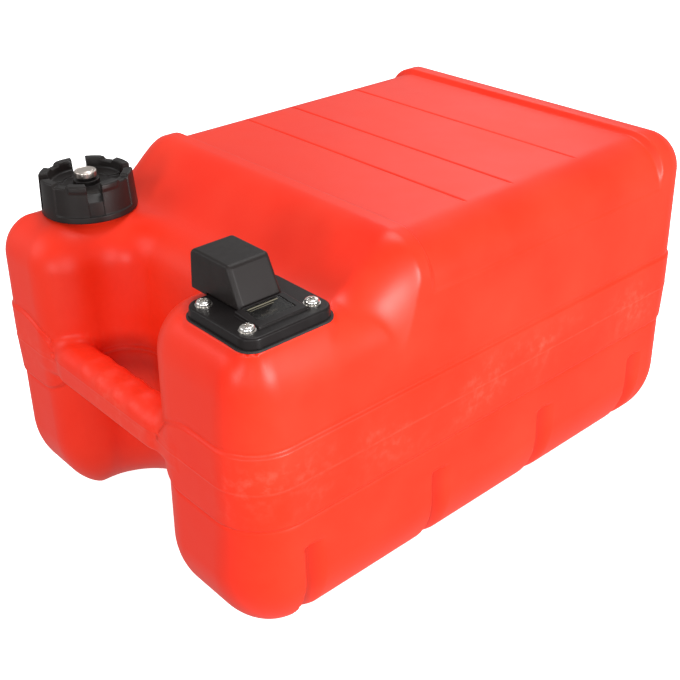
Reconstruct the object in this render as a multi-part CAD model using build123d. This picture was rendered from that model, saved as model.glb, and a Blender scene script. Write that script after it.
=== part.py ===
from build123d import *
import math
import os

# Portable outboard fuel tank: a hollow blow-moulded body with a carry handle, a screwed filler
# cap with a vent, and a fuel outlet with a direct-reading level gauge.
# Millimetres, +Z up. The origin is the middle of the footprint, on the ground. The handle end
# faces -Y, the filler cap is on the -X side and the outlet on the +X side.

# ---- Tank body -------------------------------------------------------------------------------
TANK_WIDTH = 310.0          # across the band at the mould parting line
TANK_LENGTH = 452.0         # handle face to rear wall
TANK_HEIGHT = 271.0         # ground to the ridges of the top
SHELF_DROP = 31.0           # from the ridges down to the top of the two front lobes
WALL = 3.5                  # moulded wall
PARTING_HEIGHT = 143.0
BAND_TOP = 170.0            # the thicker band runs from BAND_BOTTOM to BAND_TOP
BAND_BOTTOM = 113.0
BAND_STEP = 1.8             # how far the band stands proud
BAND_DRAFT = 1.2            # degrees, each way from the parting line
UPPER_DRAFT = 2.0           # degrees
LOWER_INSET = 7.0           # how far the foot is drawn in from the band, by draft
FRONT_CORNER = 34.0         # plan radius of the outer front corners
REAR_CORNER = 42.0
TOP_ROUND = 26.0            # radius of all top edges
FOOT_ROUND = 32.0           # radius of all bottom edges
SLOPE_START = 92.0          # from the handle face to the foot of the slope up to the top
SLOPE_END = 150.0           # to the crest of the front ridge

# Hand recess between the lobes
LEFT_LOBE = 89.0            # width of each lobe, at the parting line
RIGHT_LOBE = 116.0
RECESS_DEPTH = 62.0
RECESS_MOUTH = 33.0         # plan radius where the walls meet the handle face
RECESS_STRAIGHT = 1.0       # left between that and the inner corners' radius

# Handle bar
BAR_BOTTOM = 131.0
BAR_TOP = 158.0
BAR_DEPTH = 29.0
BAR_ROUND = 11.0
GRIP_COUNT = 4              # finger grips on the bar
GRIP_PITCH = 21.0
GRIP_RISE = 2.2
GRIP_RADIUS = 12.0
GRIP_SHIFT = 4.5            # middle of the grips from the middle of the bar

# Saddle: the shallow recess of the top between the ridges
SADDLE_DEPTH = 3.7
SADDLE_START = 156.0        # from the handle face
SADDLE_END = 410.0
SADDLE_REACH = 39.0         # from the ridges down to where it runs out on the sides
SADDLE_END_SLOPE = 3.0

# Upright grooves in the lower sides
GROOVE_COUNT = 4
GROOVE_FIRST = 43.0         # front wall of the first groove, from the handle face
GROOVE_PITCH = 117.0
GROOVE_WIDTH = 18.0
GROOVE_DEPTH = 4.5
GROOVE_TOP = 90.0

# ---- Filler neck and cap ---------------------------------------------------------------------
CAP_FROM_LEFT = 47.4
CAP_FROM_FRONT = 62.4
NECK_RADIUS = 26.0
NECK_BORE = 21.5
NECK_HEIGHT = 15.0          # above the shelf
CAP_RADIUS = 34.7           # at the skirt
CAP_TOP_RADIUS = 33.3
CAP_GAP = 0.6               # skirt to shelf
CAP_HEIGHT = 27.4
CAP_WALL = 2.6
CAP_PLATE = 3.5             # thickness of the cap's plate
CAP_INNER_CLEARANCE = 1.0   # room for the thread
SLEEVE_LIFT = 2.0           # the inner sleeve ends this far above the skirt
SLEEVE_GROOVE = 12.0        # height of the groove between skirt and sleeve
CROWN_BORE = 17.5           # well in the middle of the crown, at its floor
CROWN_MOUTH = 28.0          # and at the rim
CROWN_SLOTS = 4
CROWN_SLOT_WIDTH = 11.0
CROWN_SLOT_ANGLE = -20.0
CROWN_SLOT_DROP = 4.2       # how far the slots' floors fall towards the skirt
CROWN_NOTCH_DEPTH = 1.2     # shallow recess in the skirt below each slot
CROWN_DIP = 2.0             # shallow dips in the rim between the slots
CROWN_DIP_WIDTH = 11.0
SKIRT_BAND = 4.6            # plain band at the foot of the skirt
SKIRT_PANEL_DEPTH = 0.9     # panels between the two pairs of grip ribs
SKIRT_PANEL_ANGLE = 104.0   # degrees covered by each panel
LINER_THICKNESS = 1.9
LINER_CLEARANCE = 0.3
LINER_BORE = 8.0
PLATE_PLAY = 0.1            # liner to cap plate, so that the cap turns on it
VENT_HUB_RADIUS = 9.5
VENT_HUB_RISE = 2.0
VENT_HEAD_RADIUS = 8.3
VENT_HEAD_HEIGHT = 5.0
VENT_STEM_RADIUS = 3.0
VENT_STEM_CLEARANCE = 0.08
VENT_STEM_REACH = 9.0       # below the cap's plate
VENT_SEAL_THICKNESS = 1.4
VENT_SEAL_RADIUS = 6.0
VENT_SEAL_PLAY = 0.1        # seal to head, so that the screw turns on it
VENT_STOP_THICKNESS = 2.5
VENT_STOP_RADIUS = 5.5

# ---- Outlet and gauge ------------------------------------------------------------------------
OUTLET_FROM_RIGHT = 42.5
OUTLET_FROM_FRONT = 48.0
OUTLET_HOLE = 23.5          # radius of the hole in the tank
GASKET_SIZE = 68.0
GASKET_LENGTH = 70.0
GASKET_THICKNESS = 1.5
PLATE_SIZE = 65.0
PLATE_LENGTH = 67.0
PLATE_THICKNESS = 7.0
PLATE_CORNER = 10.0
PLATE_EDGE = 1.5
PLATE_DRAFT = 4.0           # degrees
SPIGOT_CLEARANCE = 1.0      # locating ring of the plate in the tank's hole
SPIGOT_RING_WALL = 2.5
SPIGOT_RING_DEPTH = 6.0
SCREW_PITCH_X = 42.3
SCREW_PITCH_Y = 48.0
SCREW_RADIUS = 2.5
SCREW_LENGTH = 16.0
SCREW_HEAD_RADIUS = 4.6
SCREW_HEAD_HEIGHT = 3.0
SCREW_HOLE_CLEARANCE = 0.3
SCREW_CROSS = 4.8           # span of the cross recess
SCREW_CROSS_WIDTH = 1.1
SCREW_CROSS_DEPTH = 1.7
WASHER_RADIUS = 5.3
WASHER_THICKNESS = 1.0
INSERT_RADIUS = 4.0
INSERT_LENGTH = 10.0
INSERT_CLEARANCE = 0.05
BOSS_WALL = 3.0
BOSS_FLOOR = 3.0

# Gauge housing: a low wedge on the plate with the window in it
HOUSING_LEFT_OFFSET = -3.5  # from the outlet's middle, across the tank
HOUSING_RIGHT_OFFSET = 24.5
HOUSING_LENGTH = 36.8
HOUSING_RISE_RIGHT = 1.6    # above the plate
HOUSING_RISE_LEFT = 3.4
GAUGE_SHIFT = 11.0          # axis of the gauge from the outlet's middle, across
GAUGE_OFFSET = -1.0         # and along the tank
CHAMBER_WIDTH = 13.0        # under the window
CHAMBER_LENGTH = 24.0
CHAMBER_FLOOR = 3.5         # plate left under the chamber
WINDOW_MARGIN = 1.5
WINDOW_THICKNESS = 2.0
WINDOW_CLEARANCE = 0.1
DIAL_THICKNESS = 0.8
POINTER_LIFT = 0.5          # pointer above the dial
POINTER_THICKNESS = 0.8
POINTER_WIDTH = 1.8
POINTER_REACH = 5.8
POINTER_HUB = 2.4
RIBBON_WIDTH = 5.0
RIBBON_THICKNESS = 0.8
RIBBON_TURN_RATE = 12.0 / 17.0  # degrees of twist per millimetre
RIBBON_BOTTOM = 22.0        # height of its lower bearing
RIBBON_COLLAR = 1.5
RIBBON_TOP_GAP = 5.5        # twisted part to the plate
SPINDLE_RADIUS = 1.5
SPINDLE_CLEARANCE = 0.06
FRAME_ROD_RADIUS = 1.6
FRAME_ROD_OFFSET = 6.6
FRAME_ROD_SEAT = 2.5        # how far the rods go into the plate
FRAME_FOOT = 3.0
FRAME_FOOT_WIDTH = 7.0
FLOAT_LENGTH = 40.0
FLOAT_RADIUS = 10.0
FLOAT_BORE = 3.2
FLOAT_REST_GAP = 1.0
FLOAT_ROD_CLEARANCE = 0.35
FOLLOWER_THICKNESS = 1.0
FOLLOWER_RADIUS = 4.4
FOLLOWER_CLEARANCE = 0.12

# Outlet connector under the dust cap
CONNECTOR_LEFT_OFFSET = -28.5   # from the outlet's middle, across the tank
CONNECTOR_RIGHT_OFFSET = -11.5
CONNECTOR_WIDTH = 22.0
CONNECTOR_HEIGHT = 12.5
PORT_RISE = 6.5             # port axis above the plate
PORT_RADIUS = 4.5
PORT_BORE = 2.4
PORT_LENGTH = 20.0
PORT_SEAT = 6.0             # how far the port is set into the connector
PORT_OFFSET = -4.0          # across, from the connector's middle
PIN_OFFSET = 6.0
PIN_RADIUS = 2.2
PIN_LENGTH = 16.0
RING_SECTION = 1.0          # radius of the port's sealing ring
RING_SET = 3.0              # groove from the port's end
RING_GROOVE = 1.2
VALVE_SEAT_BORE = 1.5
VALVE_SEAT_LENGTH = 2.0
VALVE_BORE = 2.6
BALL_RADIUS = 2.0
PLUG_RADIUS = 3.3
PLUG_LENGTH = 2.5
SPRING_RADIUS = 1.7         # to the middle of the wire
SPRING_WIRE = 0.35
SPRING_TURNS = 6
PICKUP_SHIFT = -17.0        # from the outlet's middle, across the tank
PICKUP_RADIUS = 3.5
PICKUP_WALL = 1.0
PICKUP_SOCKET = 4.0         # how far the tube goes up into the plate
PICKUP_BOSS = 5.0
PICKUP_BOSS_DEPTH = 8.0
PICKUP_END = 20.0           # height of the tube's open end
FILTER_RADIUS = 5.6
FILTER_BOTTOM = 8.0
FILTER_GRIP = 8.0           # how far it is pushed onto the tube
FILTER_FLOOR = 1.5

# Dust cap
HOOD_LEFT_TOP_OFFSET = -52.5    # corners of its side view, from the outlet's middle
HOOD_LEFT_BOTTOM_OFFSET = -55.5
HOOD_RIGHT_TOP_OFFSET = -12.5
HOOD_RIGHT_BOTTOM_OFFSET = -4.9
HOOD_OVERHANG_DROP = 4.0        # below the plate's top, beside the plate
HOOD_LEFT_RISE = 21.0           # above the plate's top
HOOD_RIGHT_RISE = 25.5
HOOD_WIDTH = 30.0
HOOD_OFFSET = 1.0           # from the outlet's middle, along the tank
HOOD_WALL = 2.4
HOOD_EDGE = 3.0
HOOD_SEAT_GAP = 0.3
HOOD_LIP_GAP = 0.6

# ---- Places worked out from the sizes --------------------------------------------------------
FRONT_Y = -TANK_LENGTH / 2
REAR_Y = TANK_LENGTH / 2
SHELF_HEIGHT = TANK_HEIGHT - SHELF_DROP
SADDLE_SIDE = TANK_HEIGHT - SADDLE_REACH
NECK_RIM = SHELF_HEIGHT + NECK_HEIGHT
RECESS_LEFT = -TANK_WIDTH / 2 + LEFT_LOBE
RECESS_RIGHT = TANK_WIDTH / 2 - RIGHT_LOBE
GRIP_MIDDLE = (RECESS_LEFT + RECESS_RIGHT) / 2 + GRIP_SHIFT
CAP_X = -TANK_WIDTH / 2 + CAP_FROM_LEFT
CAP_Y = FRONT_Y + CAP_FROM_FRONT
OUTLET_X = TANK_WIDTH / 2 - OUTLET_FROM_RIGHT
OUTLET_Y = FRONT_Y + OUTLET_FROM_FRONT
HOUSING_LEFT = OUTLET_X + HOUSING_LEFT_OFFSET
HOUSING_RIGHT = OUTLET_X + HOUSING_RIGHT_OFFSET
CONNECTOR_LEFT = OUTLET_X + CONNECTOR_LEFT_OFFSET
CONNECTOR_RIGHT = OUTLET_X + CONNECTOR_RIGHT_OFFSET
PICKUP_X = OUTLET_X + PICKUP_SHIFT
GAUGE_X = OUTLET_X + GAUGE_SHIFT
GAUGE_Y = OUTLET_Y + GAUGE_OFFSET
HOOD_Y = OUTLET_Y + HOOD_OFFSET
PORT_Y = HOOD_Y + PORT_OFFSET
PIN_Y = HOOD_Y + PIN_OFFSET
GASKET_TOP = SHELF_HEIGHT + GASKET_THICKNESS
PLATE_TOP = GASKET_TOP + PLATE_THICKNESS
HOOD_LEFT_TOP = OUTLET_X + HOOD_LEFT_TOP_OFFSET
HOOD_LEFT_BOTTOM = OUTLET_X + HOOD_LEFT_BOTTOM_OFFSET
HOOD_RIGHT_TOP = OUTLET_X + HOOD_RIGHT_TOP_OFFSET
HOOD_RIGHT_BOTTOM = OUTLET_X + HOOD_RIGHT_BOTTOM_OFFSET
HOOD_OVERHANG_HEIGHT = PLATE_TOP - HOOD_OVERHANG_DROP
HOOD_LEFT_HEIGHT = PLATE_TOP + HOOD_LEFT_RISE
HOOD_RIGHT_HEIGHT = PLATE_TOP + HOOD_RIGHT_RISE
CAP_BOTTOM = SHELF_HEIGHT + CAP_GAP
CAP_TOP = CAP_BOTTOM + CAP_HEIGHT
CAP_CEILING = NECK_RIM + LINER_THICKNESS + PLATE_PLAY
CAP_FLOOR = CAP_CEILING + CAP_PLATE
VENT_HUB_TOP = CAP_FLOOR + VENT_HUB_RISE
VENT_HEAD_BOTTOM = VENT_HUB_TOP + VENT_SEAL_THICKNESS + VENT_SEAL_PLAY
PORT_HEIGHT = PLATE_TOP + PORT_RISE
CONNECTOR_TOP = PLATE_TOP + CONNECTOR_HEIGHT
CHAMBER_BOTTOM = GASKET_TOP + CHAMBER_FLOOR
DIAL_TOP = CHAMBER_BOTTOM + DIAL_THICKNESS
POINTER_BOTTOM = DIAL_TOP + POINTER_LIFT
POINTER_TOP = POINTER_BOTTOM + POINTER_THICKNESS
FRAME_BOTTOM = RIBBON_BOTTOM - FRAME_FOOT
TWIST_START = RIBBON_BOTTOM + RIBBON_COLLAR
TWIST_END = GASKET_TOP - RIBBON_TOP_GAP
FLOAT_BOTTOM = RIBBON_BOTTOM + FLOAT_REST_GAP
FLOAT_TOP = FLOAT_BOTTOM + FLOAT_LENGTH
TUBE_TOP = GASKET_TOP + PICKUP_SOCKET
VALVE_SEAT = TUBE_TOP + VALVE_SEAT_LENGTH
BALL_HEIGHT = VALVE_SEAT + (BALL_RADIUS ** 2 - VALVE_SEAT_BORE ** 2) ** 0.5
PLUG_BOTTOM = CONNECTOR_TOP - PLUG_LENGTH
SPRING_TOUCH = ((BALL_RADIUS + SPRING_WIRE + 0.01) ** 2 - SPRING_RADIUS ** 2) ** 0.5
SCREW_PLACES = [
    (OUTLET_X + sx * SCREW_PITCH_X / 2, GAUGE_Y + sy * SCREW_PITCH_Y / 2)
    for sx in (-1, 1)
    for sy in (-1, 1)
]


def cylinder(x, y, z0, z1, radius):
    """An upright cylinder between two heights."""
    return Pos(x, y, z0) * extrude(Circle(radius), z1 - z0)


def ring(x, y, z0, z1, outer, inner):
    """An upright tube between two heights."""
    return cylinder(x, y, z0, z1, outer) - cylinder(x, y, z0, z1, inner)


def block(x0, x1, y0, y1, z0, z1):
    """A box between two corners."""
    return Pos((x0 + x1) / 2, (y0 + y1) / 2, (z0 + z1) / 2) * Box(x1 - x0, y1 - y0, z1 - z0)


# ---- Tank body -------------------------------------------------------------------------------
def body_outline(inset, draw=0.0):
    """Plan of the body with the hand recess in its front.

    inset is the distance in from the outside, which the cavity uses; draw is how far the
    draft has brought the walls in at this height.
    """
    half = TANK_WIDTH / 2 - inset - draw
    front = FRONT_Y + inset + draw
    rear = REAR_Y - inset - draw
    left = RECESS_LEFT - inset - draw
    right = RECESS_RIGHT + inset + draw
    back = FRONT_Y + RECESS_DEPTH + inset + draw
    corners = [
        (-half, front),
        (left, front),
        (left, back),
        (right, back),
        (right, front),
        (half, front),
        (half, rear),
        (-half, rear),
    ]
    convex = [FRONT_CORNER - inset, RECESS_MOUTH - inset]
    concave = RECESS_DEPTH - RECESS_MOUTH - RECESS_STRAIGHT + inset
    radii = [*convex, concave, concave, *reversed(convex)] + [REAR_CORNER - inset] * 2
    return make_face(FilletPolyline(*corners, radius=radii, close=True))


def slope_profile(inset):
    """Side view of what is cut away above the shelf: flat, then the slope up to the top."""
    shelf = SHELF_HEIGHT - inset
    top = TANK_HEIGHT - inset
    start = FRONT_Y + SLOPE_START + inset
    end = FRONT_Y + SLOPE_END + inset
    ahead = FRONT_Y - TANK_LENGTH
    above = top + TANK_HEIGHT
    middle = ((start + end) / 2, (shelf + top) / 2)
    outline = Polyline((end, top), (end, above), (ahead, above), (ahead, shelf), (start, shelf))
    slope = Spline((start, shelf), middle, (end, top), tangents=[(1, 0), (1, 0)])
    return make_face(Plane.YZ * (outline + slope))


def top_edges(solid, floor):
    """The outer edges of a solid's upper faces, above a height."""
    upper = [f for f in solid.faces() if f.bounding_box().min.Z >= floor]
    edges = [e for f in upper for e in f.edges()]
    return [e for e in edges if sum(e.is_same(other) for other in edges) == 1]


def upper_form(inset):
    """The body above the band: drafted walls, shelf, slope and rounded top."""
    height = TANK_HEIGHT - inset - BAND_TOP
    face = Pos(0, 0, BAND_TOP) * body_outline(inset, BAND_STEP)
    form = extrude(face, height, taper=UPPER_DRAFT)
    form -= extrude(slope_profile(inset), TANK_WIDTH, both=True)
    return fillet(top_edges(form, SHELF_HEIGHT - inset - 0.5), TOP_ROUND - inset)


def lower_form(inset):
    """The body below the band: drafted walls and a rounded foot."""
    top = Pos(0, 0, BAND_BOTTOM) * body_outline(inset, BAND_STEP)
    foot = Pos(0, 0, inset) * body_outline(inset, BAND_STEP + LOWER_INSET)
    form = loft([top, foot], ruled=True)
    bottom = form.faces().sort_by(Axis.Z)[0]
    return fillet(bottom.edges(), FOOT_ROUND - inset)


def band_form(inset):
    """The proud band about the parting line, drafted both ways."""
    face = Pos(0, 0, PARTING_HEIGHT) * body_outline(inset)
    above = extrude(face, BAND_TOP - PARTING_HEIGHT, taper=BAND_DRAFT)
    below = extrude(face, -(PARTING_HEIGHT - BAND_BOTTOM), taper=BAND_DRAFT)
    return above + below


def handle_bar(inset):
    """The bar across the mouth of the recess, with finger grips along its top."""
    front = FRONT_Y + inset
    back = FRONT_Y + BAR_DEPTH - inset
    bottom = BAR_BOTTOM + inset
    top = BAR_TOP - inset
    corners = [(front, bottom), (back, bottom), (back, top), (front, top)]
    radii = [1.5, BAR_ROUND - inset, BAR_ROUND - inset, BAR_ROUND - inset]
    section = make_face(Plane.YZ * FilletPolyline(*corners, radius=radii, close=True))
    reach = RECESS_MOUTH * 0.8
    bar = Pos(RECESS_LEFT - reach, 0, 0) * extrude(
        section, RECESS_RIGHT - RECESS_LEFT + 2 * reach
    )
    for number in range(GRIP_COUNT):
        x = GRIP_MIDDLE + (number - (GRIP_COUNT - 1) / 2) * GRIP_PITCH
        centre = (x, FRONT_Y + BAR_DEPTH / 2, BAR_TOP + GRIP_RISE - GRIP_RADIUS - inset)
        grip = Pos(*centre) * Rot(90, 0, 0) * Cylinder(GRIP_RADIUS, BAR_DEPTH * 0.45)
        bar += fillet(grip.edges(), 2.5)
    return bar


def groove_cutters(inset):
    """Upright grooves that follow the lower sides and run out under the foot."""
    slabs = []
    for number in range(GROOVE_COUNT):
        y0 = FRONT_Y + GROOVE_FIRST + number * GROOVE_PITCH - inset
        slab = block(
            -TANK_WIDTH, TANK_WIDTH, y0, y0 + GROOVE_WIDTH + 2 * inset,
            -FOOT_ROUND, GROOVE_TOP + inset
        )
        rounded = slab.edges().filter_by(Axis.X).group_by(Axis.Z)[-1]
        slabs.append(fillet(rounded, GROOVE_WIDTH * 0.35))
    core = lower_form(inset + GROOVE_DEPTH)
    return [slab - core for slab in slabs]


def saddle_cutter(inset):
    """What is cut from the top and shoulders between the ridges."""
    low = SADDLE_SIDE - inset
    top = TANK_HEIGHT - SADDLE_DEPTH - inset
    draw = (low - BAND_TOP) * 0.035
    half = TANK_WIDTH / 2 - BAND_STEP - inset - draw
    plan = Pos(0, 0, low) * Rectangle(2 * half, 2 * TANK_LENGTH)
    core = extrude(plan, top - low, taper=6.0)
    core = fillet(core.edges().filter_by(Axis.Y).group_by(Axis.Z)[-1], TOP_ROUND - inset - 2.0)
    y0 = FRONT_Y + SADDLE_START + inset
    y1 = FRONT_Y + SADDLE_END - inset
    spread = SADDLE_END_SLOPE * (TANK_HEIGHT - low) / SADDLE_DEPTH
    side = Polyline(
        (y0 + spread, low),
        (y1 - spread, low),
        (y1 + spread, 2 * TANK_HEIGHT - low),
        (y0 - spread, 2 * TANK_HEIGHT - low),
        close=True,
    )
    return extrude(make_face(Plane.YZ * side), TANK_WIDTH, both=True) - core


def body_form(inset):
    """The whole outside of the body, drawn in by inset; the cavity is the same form."""
    form = upper_form(inset) - saddle_cutter(inset)
    form += band_form(inset) + lower_form(inset)
    form += handle_bar(inset)
    for cutter in groove_cutters(inset):
        form -= cutter
    return form


def tank_body():
    """The hollow moulding with its filler neck, outlet hole and insert bosses."""
    shelf_inside = SHELF_HEIGHT - WALL
    cavity = body_form(WALL)
    for x, y in SCREW_PLACES:
        depth = INSERT_LENGTH + BOSS_FLOOR
        cavity -= cylinder(x, y, SHELF_HEIGHT - depth, SHELF_HEIGHT, INSERT_RADIUS + BOSS_WALL)
    body = body_form(0.0) - cavity
    body += ring(CAP_X, CAP_Y, shelf_inside, NECK_RIM, NECK_RADIUS, NECK_BORE)
    body -= cylinder(CAP_X, CAP_Y, shelf_inside - WALL, NECK_RIM, NECK_BORE)
    body -= cylinder(OUTLET_X, OUTLET_Y, shelf_inside - WALL, SHELF_HEIGHT + WALL, OUTLET_HOLE)
    for x, y in SCREW_PLACES:
        body -= cylinder(x, y, SHELF_HEIGHT - INSERT_LENGTH, SHELF_HEIGHT + WALL, INSERT_RADIUS)
    return body


# ---- Cap -------------------------------------------------------------------------------------
def cap_form(shrink, low, high):
    """The outside of the cap between two heights above its skirt, drawn in by shrink."""
    slope = (CAP_TOP_RADIUS - CAP_RADIUS) / CAP_HEIGHT
    bottom = CAP_RADIUS - shrink + slope * low
    top = CAP_RADIUS - shrink + slope * high
    middle = CAP_BOTTOM + (low + high) / 2
    return Pos(CAP_X, CAP_Y, middle) * Cone(bottom, top, high - low)


def sector(angle, reach):
    """A wedge of the plan about +X, as tall as the cap and centred on its axis."""
    half = math.radians(angle / 2)
    tip = (reach * math.cos(half), reach * math.sin(half))
    corners = [(0, 0), (tip[0], -tip[1]), (2 * reach, -tip[1]), (2 * reach, tip[1]), tip]
    return extrude(make_face(Polyline(*corners, close=True)), 2 * CAP_HEIGHT)


def crown_slot():
    """A slot through the crown along +X whose floor falls away, and its recess in the skirt."""
    floor = CAP_FLOOR - CAP_BOTTOM
    reach = CAP_RADIUS + CAP_WALL
    lip = floor - CROWN_SLOT_DROP
    side = [
        (0, floor),
        (CROWN_MOUTH - CAP_WALL, floor),
        (CAP_TOP_RADIUS, lip),
        (reach, lip),
        (reach, 2 * CAP_HEIGHT),
        (0, 2 * CAP_HEIGHT),
    ]
    slot = extrude(make_face(Plane.XZ * Polyline(*side, close=True)), CROWN_SLOT_WIDTH / 2, both=True)
    half = CROWN_SLOT_WIDTH / 2
    return slot + block(
        CAP_TOP_RADIUS - CROWN_NOTCH_DEPTH, reach, -half, half, SKIRT_BAND, floor
    )


def cap_shell():
    """The screw cap: skirt, plate, inner sleeve and a slotted crown with a hub for the vent."""
    shell = cap_form(0.0, 0.0, CAP_HEIGHT)
    shell = chamfer(shell.edges().group_by(Axis.Z)[-1], 1.2)
    panel = cap_form(-CAP_WALL, SKIRT_BAND, CAP_HEIGHT)
    panel -= cap_form(SKIRT_PANEL_DEPTH, SKIRT_BAND, CAP_HEIGHT)
    middle = (CAP_FLOOR + CAP_TOP) / 2
    well = Pos(CAP_X, CAP_Y, middle) * Cone(CROWN_BORE, CROWN_MOUTH, CAP_TOP - CAP_FLOOR)
    shell -= well
    place = Pos(CAP_X, CAP_Y, CAP_BOTTOM) * Rot(0, 0, CROWN_SLOT_ANGLE)
    turn = 360.0 / CROWN_SLOTS
    dip = block(
        0, CAP_RADIUS + CAP_WALL, -CROWN_DIP_WIDTH / 2, CROWN_DIP_WIDTH / 2,
        CAP_HEIGHT - CROWN_DIP, CAP_HEIGHT
    )
    for number in range(2):
        shell -= panel & (place * Rot(0, 0, number * 180) * sector(SKIRT_PANEL_ANGLE, CAP_RADIUS))
    for number in range(CROWN_SLOTS):
        shell -= place * Rot(0, 0, number * turn) * crown_slot()
        shell -= place * Rot(0, 0, (number + 0.5) * turn) * dip

    # Underside: bore over the neck, and a groove that leaves the sleeve
    bore = NECK_RADIUS + CAP_INNER_CLEARANCE
    sleeve = bore + CAP_WALL
    shell -= cylinder(CAP_X, CAP_Y, CAP_BOTTOM, CAP_CEILING, bore)
    shell -= cylinder(CAP_X, CAP_Y, CAP_BOTTOM, CAP_BOTTOM + SLEEVE_LIFT, sleeve)
    groove = cap_form(CAP_WALL, 0.0, SLEEVE_GROOVE)
    shell -= groove - cylinder(CAP_X, CAP_Y, CAP_BOTTOM, CAP_BOTTOM + SLEEVE_GROOVE, sleeve)
    shell += cylinder(CAP_X, CAP_Y, CAP_FLOOR, VENT_HUB_TOP, VENT_HUB_RADIUS)
    stem = VENT_STEM_RADIUS + VENT_STEM_CLEARANCE
    return shell - cylinder(CAP_X, CAP_Y, CAP_CEILING, VENT_HUB_TOP, stem)


def cap_liner():
    """The sealing disc between the neck's rim and the cap, open in the middle for the vent."""
    radius = NECK_RADIUS + CAP_INNER_CLEARANCE - LINER_CLEARANCE
    return ring(CAP_X, CAP_Y, NECK_RIM, NECK_RIM + LINER_THICKNESS, radius, LINER_BORE)


def vent_screw():
    """The vent screw with its stem through the cap."""
    top = VENT_HEAD_BOTTOM + VENT_HEAD_HEIGHT
    head = cylinder(CAP_X, CAP_Y, VENT_HEAD_BOTTOM, top, VENT_HEAD_RADIUS)
    head = fillet(head.edges().group_by(Axis.Z)[-1], 1.4)
    head = fillet(head.edges().group_by(Axis.Z)[0], 0.6)
    stem_end = CAP_CEILING - VENT_STEM_REACH
    return head + cylinder(CAP_X, CAP_Y, stem_end, VENT_HEAD_BOTTOM, VENT_STEM_RADIUS)


def vent_stop():
    """The collar pressed on the vent screw's end, which keeps it in the cap."""
    low = CAP_CEILING - VENT_STEM_REACH
    high = low + VENT_STOP_THICKNESS
    return ring(CAP_X, CAP_Y, low, high, VENT_STOP_RADIUS, VENT_STEM_RADIUS)


def vent_seal():
    """The rubber washer under the vent screw's head."""
    bore = VENT_STEM_RADIUS + VENT_STEM_CLEARANCE
    top = VENT_HUB_TOP + VENT_SEAL_THICKNESS
    return ring(CAP_X, CAP_Y, VENT_HUB_TOP, top, VENT_SEAL_RADIUS, bore)


# ---- Outlet plate ----------------------------------------------------------------------------
def housing_top(x):
    """Height of the gauge housing's sloping top."""
    share = (x - HOUSING_LEFT) / (HOUSING_RIGHT - HOUSING_LEFT)
    return PLATE_TOP + HOUSING_RISE_LEFT + share * (HOUSING_RISE_RIGHT - HOUSING_RISE_LEFT)


def wedge(x0, x1, length, low, high):
    """A block about the gauge's axis between two offsets from the housing's sloping top."""
    corners = [
        (x0, housing_top(x0) + low),
        (x1, housing_top(x1) + low),
        (x1, housing_top(x1) + high),
        (x0, housing_top(x0) + high),
    ]
    section = make_face(Plane.XZ * Polyline(*corners, close=True))
    return Pos(0, GAUGE_Y, 0) * extrude(section, length / 2, both=True)


def window_seat(clearance):
    """The slab that fills the window's seat, less a clearance at its edges."""
    half = CHAMBER_WIDTH / 2 + WINDOW_MARGIN - clearance
    length = CHAMBER_LENGTH + 2 * (WINDOW_MARGIN - clearance)
    return wedge(GAUGE_X - half, GAUGE_X + half, length, -WINDOW_THICKNESS, 0.0)


def rounded_plate(size_x, size_y, corner, z0, z1, draft=0.0):
    """A plate with rounded corners about the outlet's middle."""
    face = Pos(OUTLET_X, OUTLET_Y, z0) * RectangleRounded(size_x, size_y, corner)
    return extrude(face, z1 - z0, taper=draft)


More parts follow.
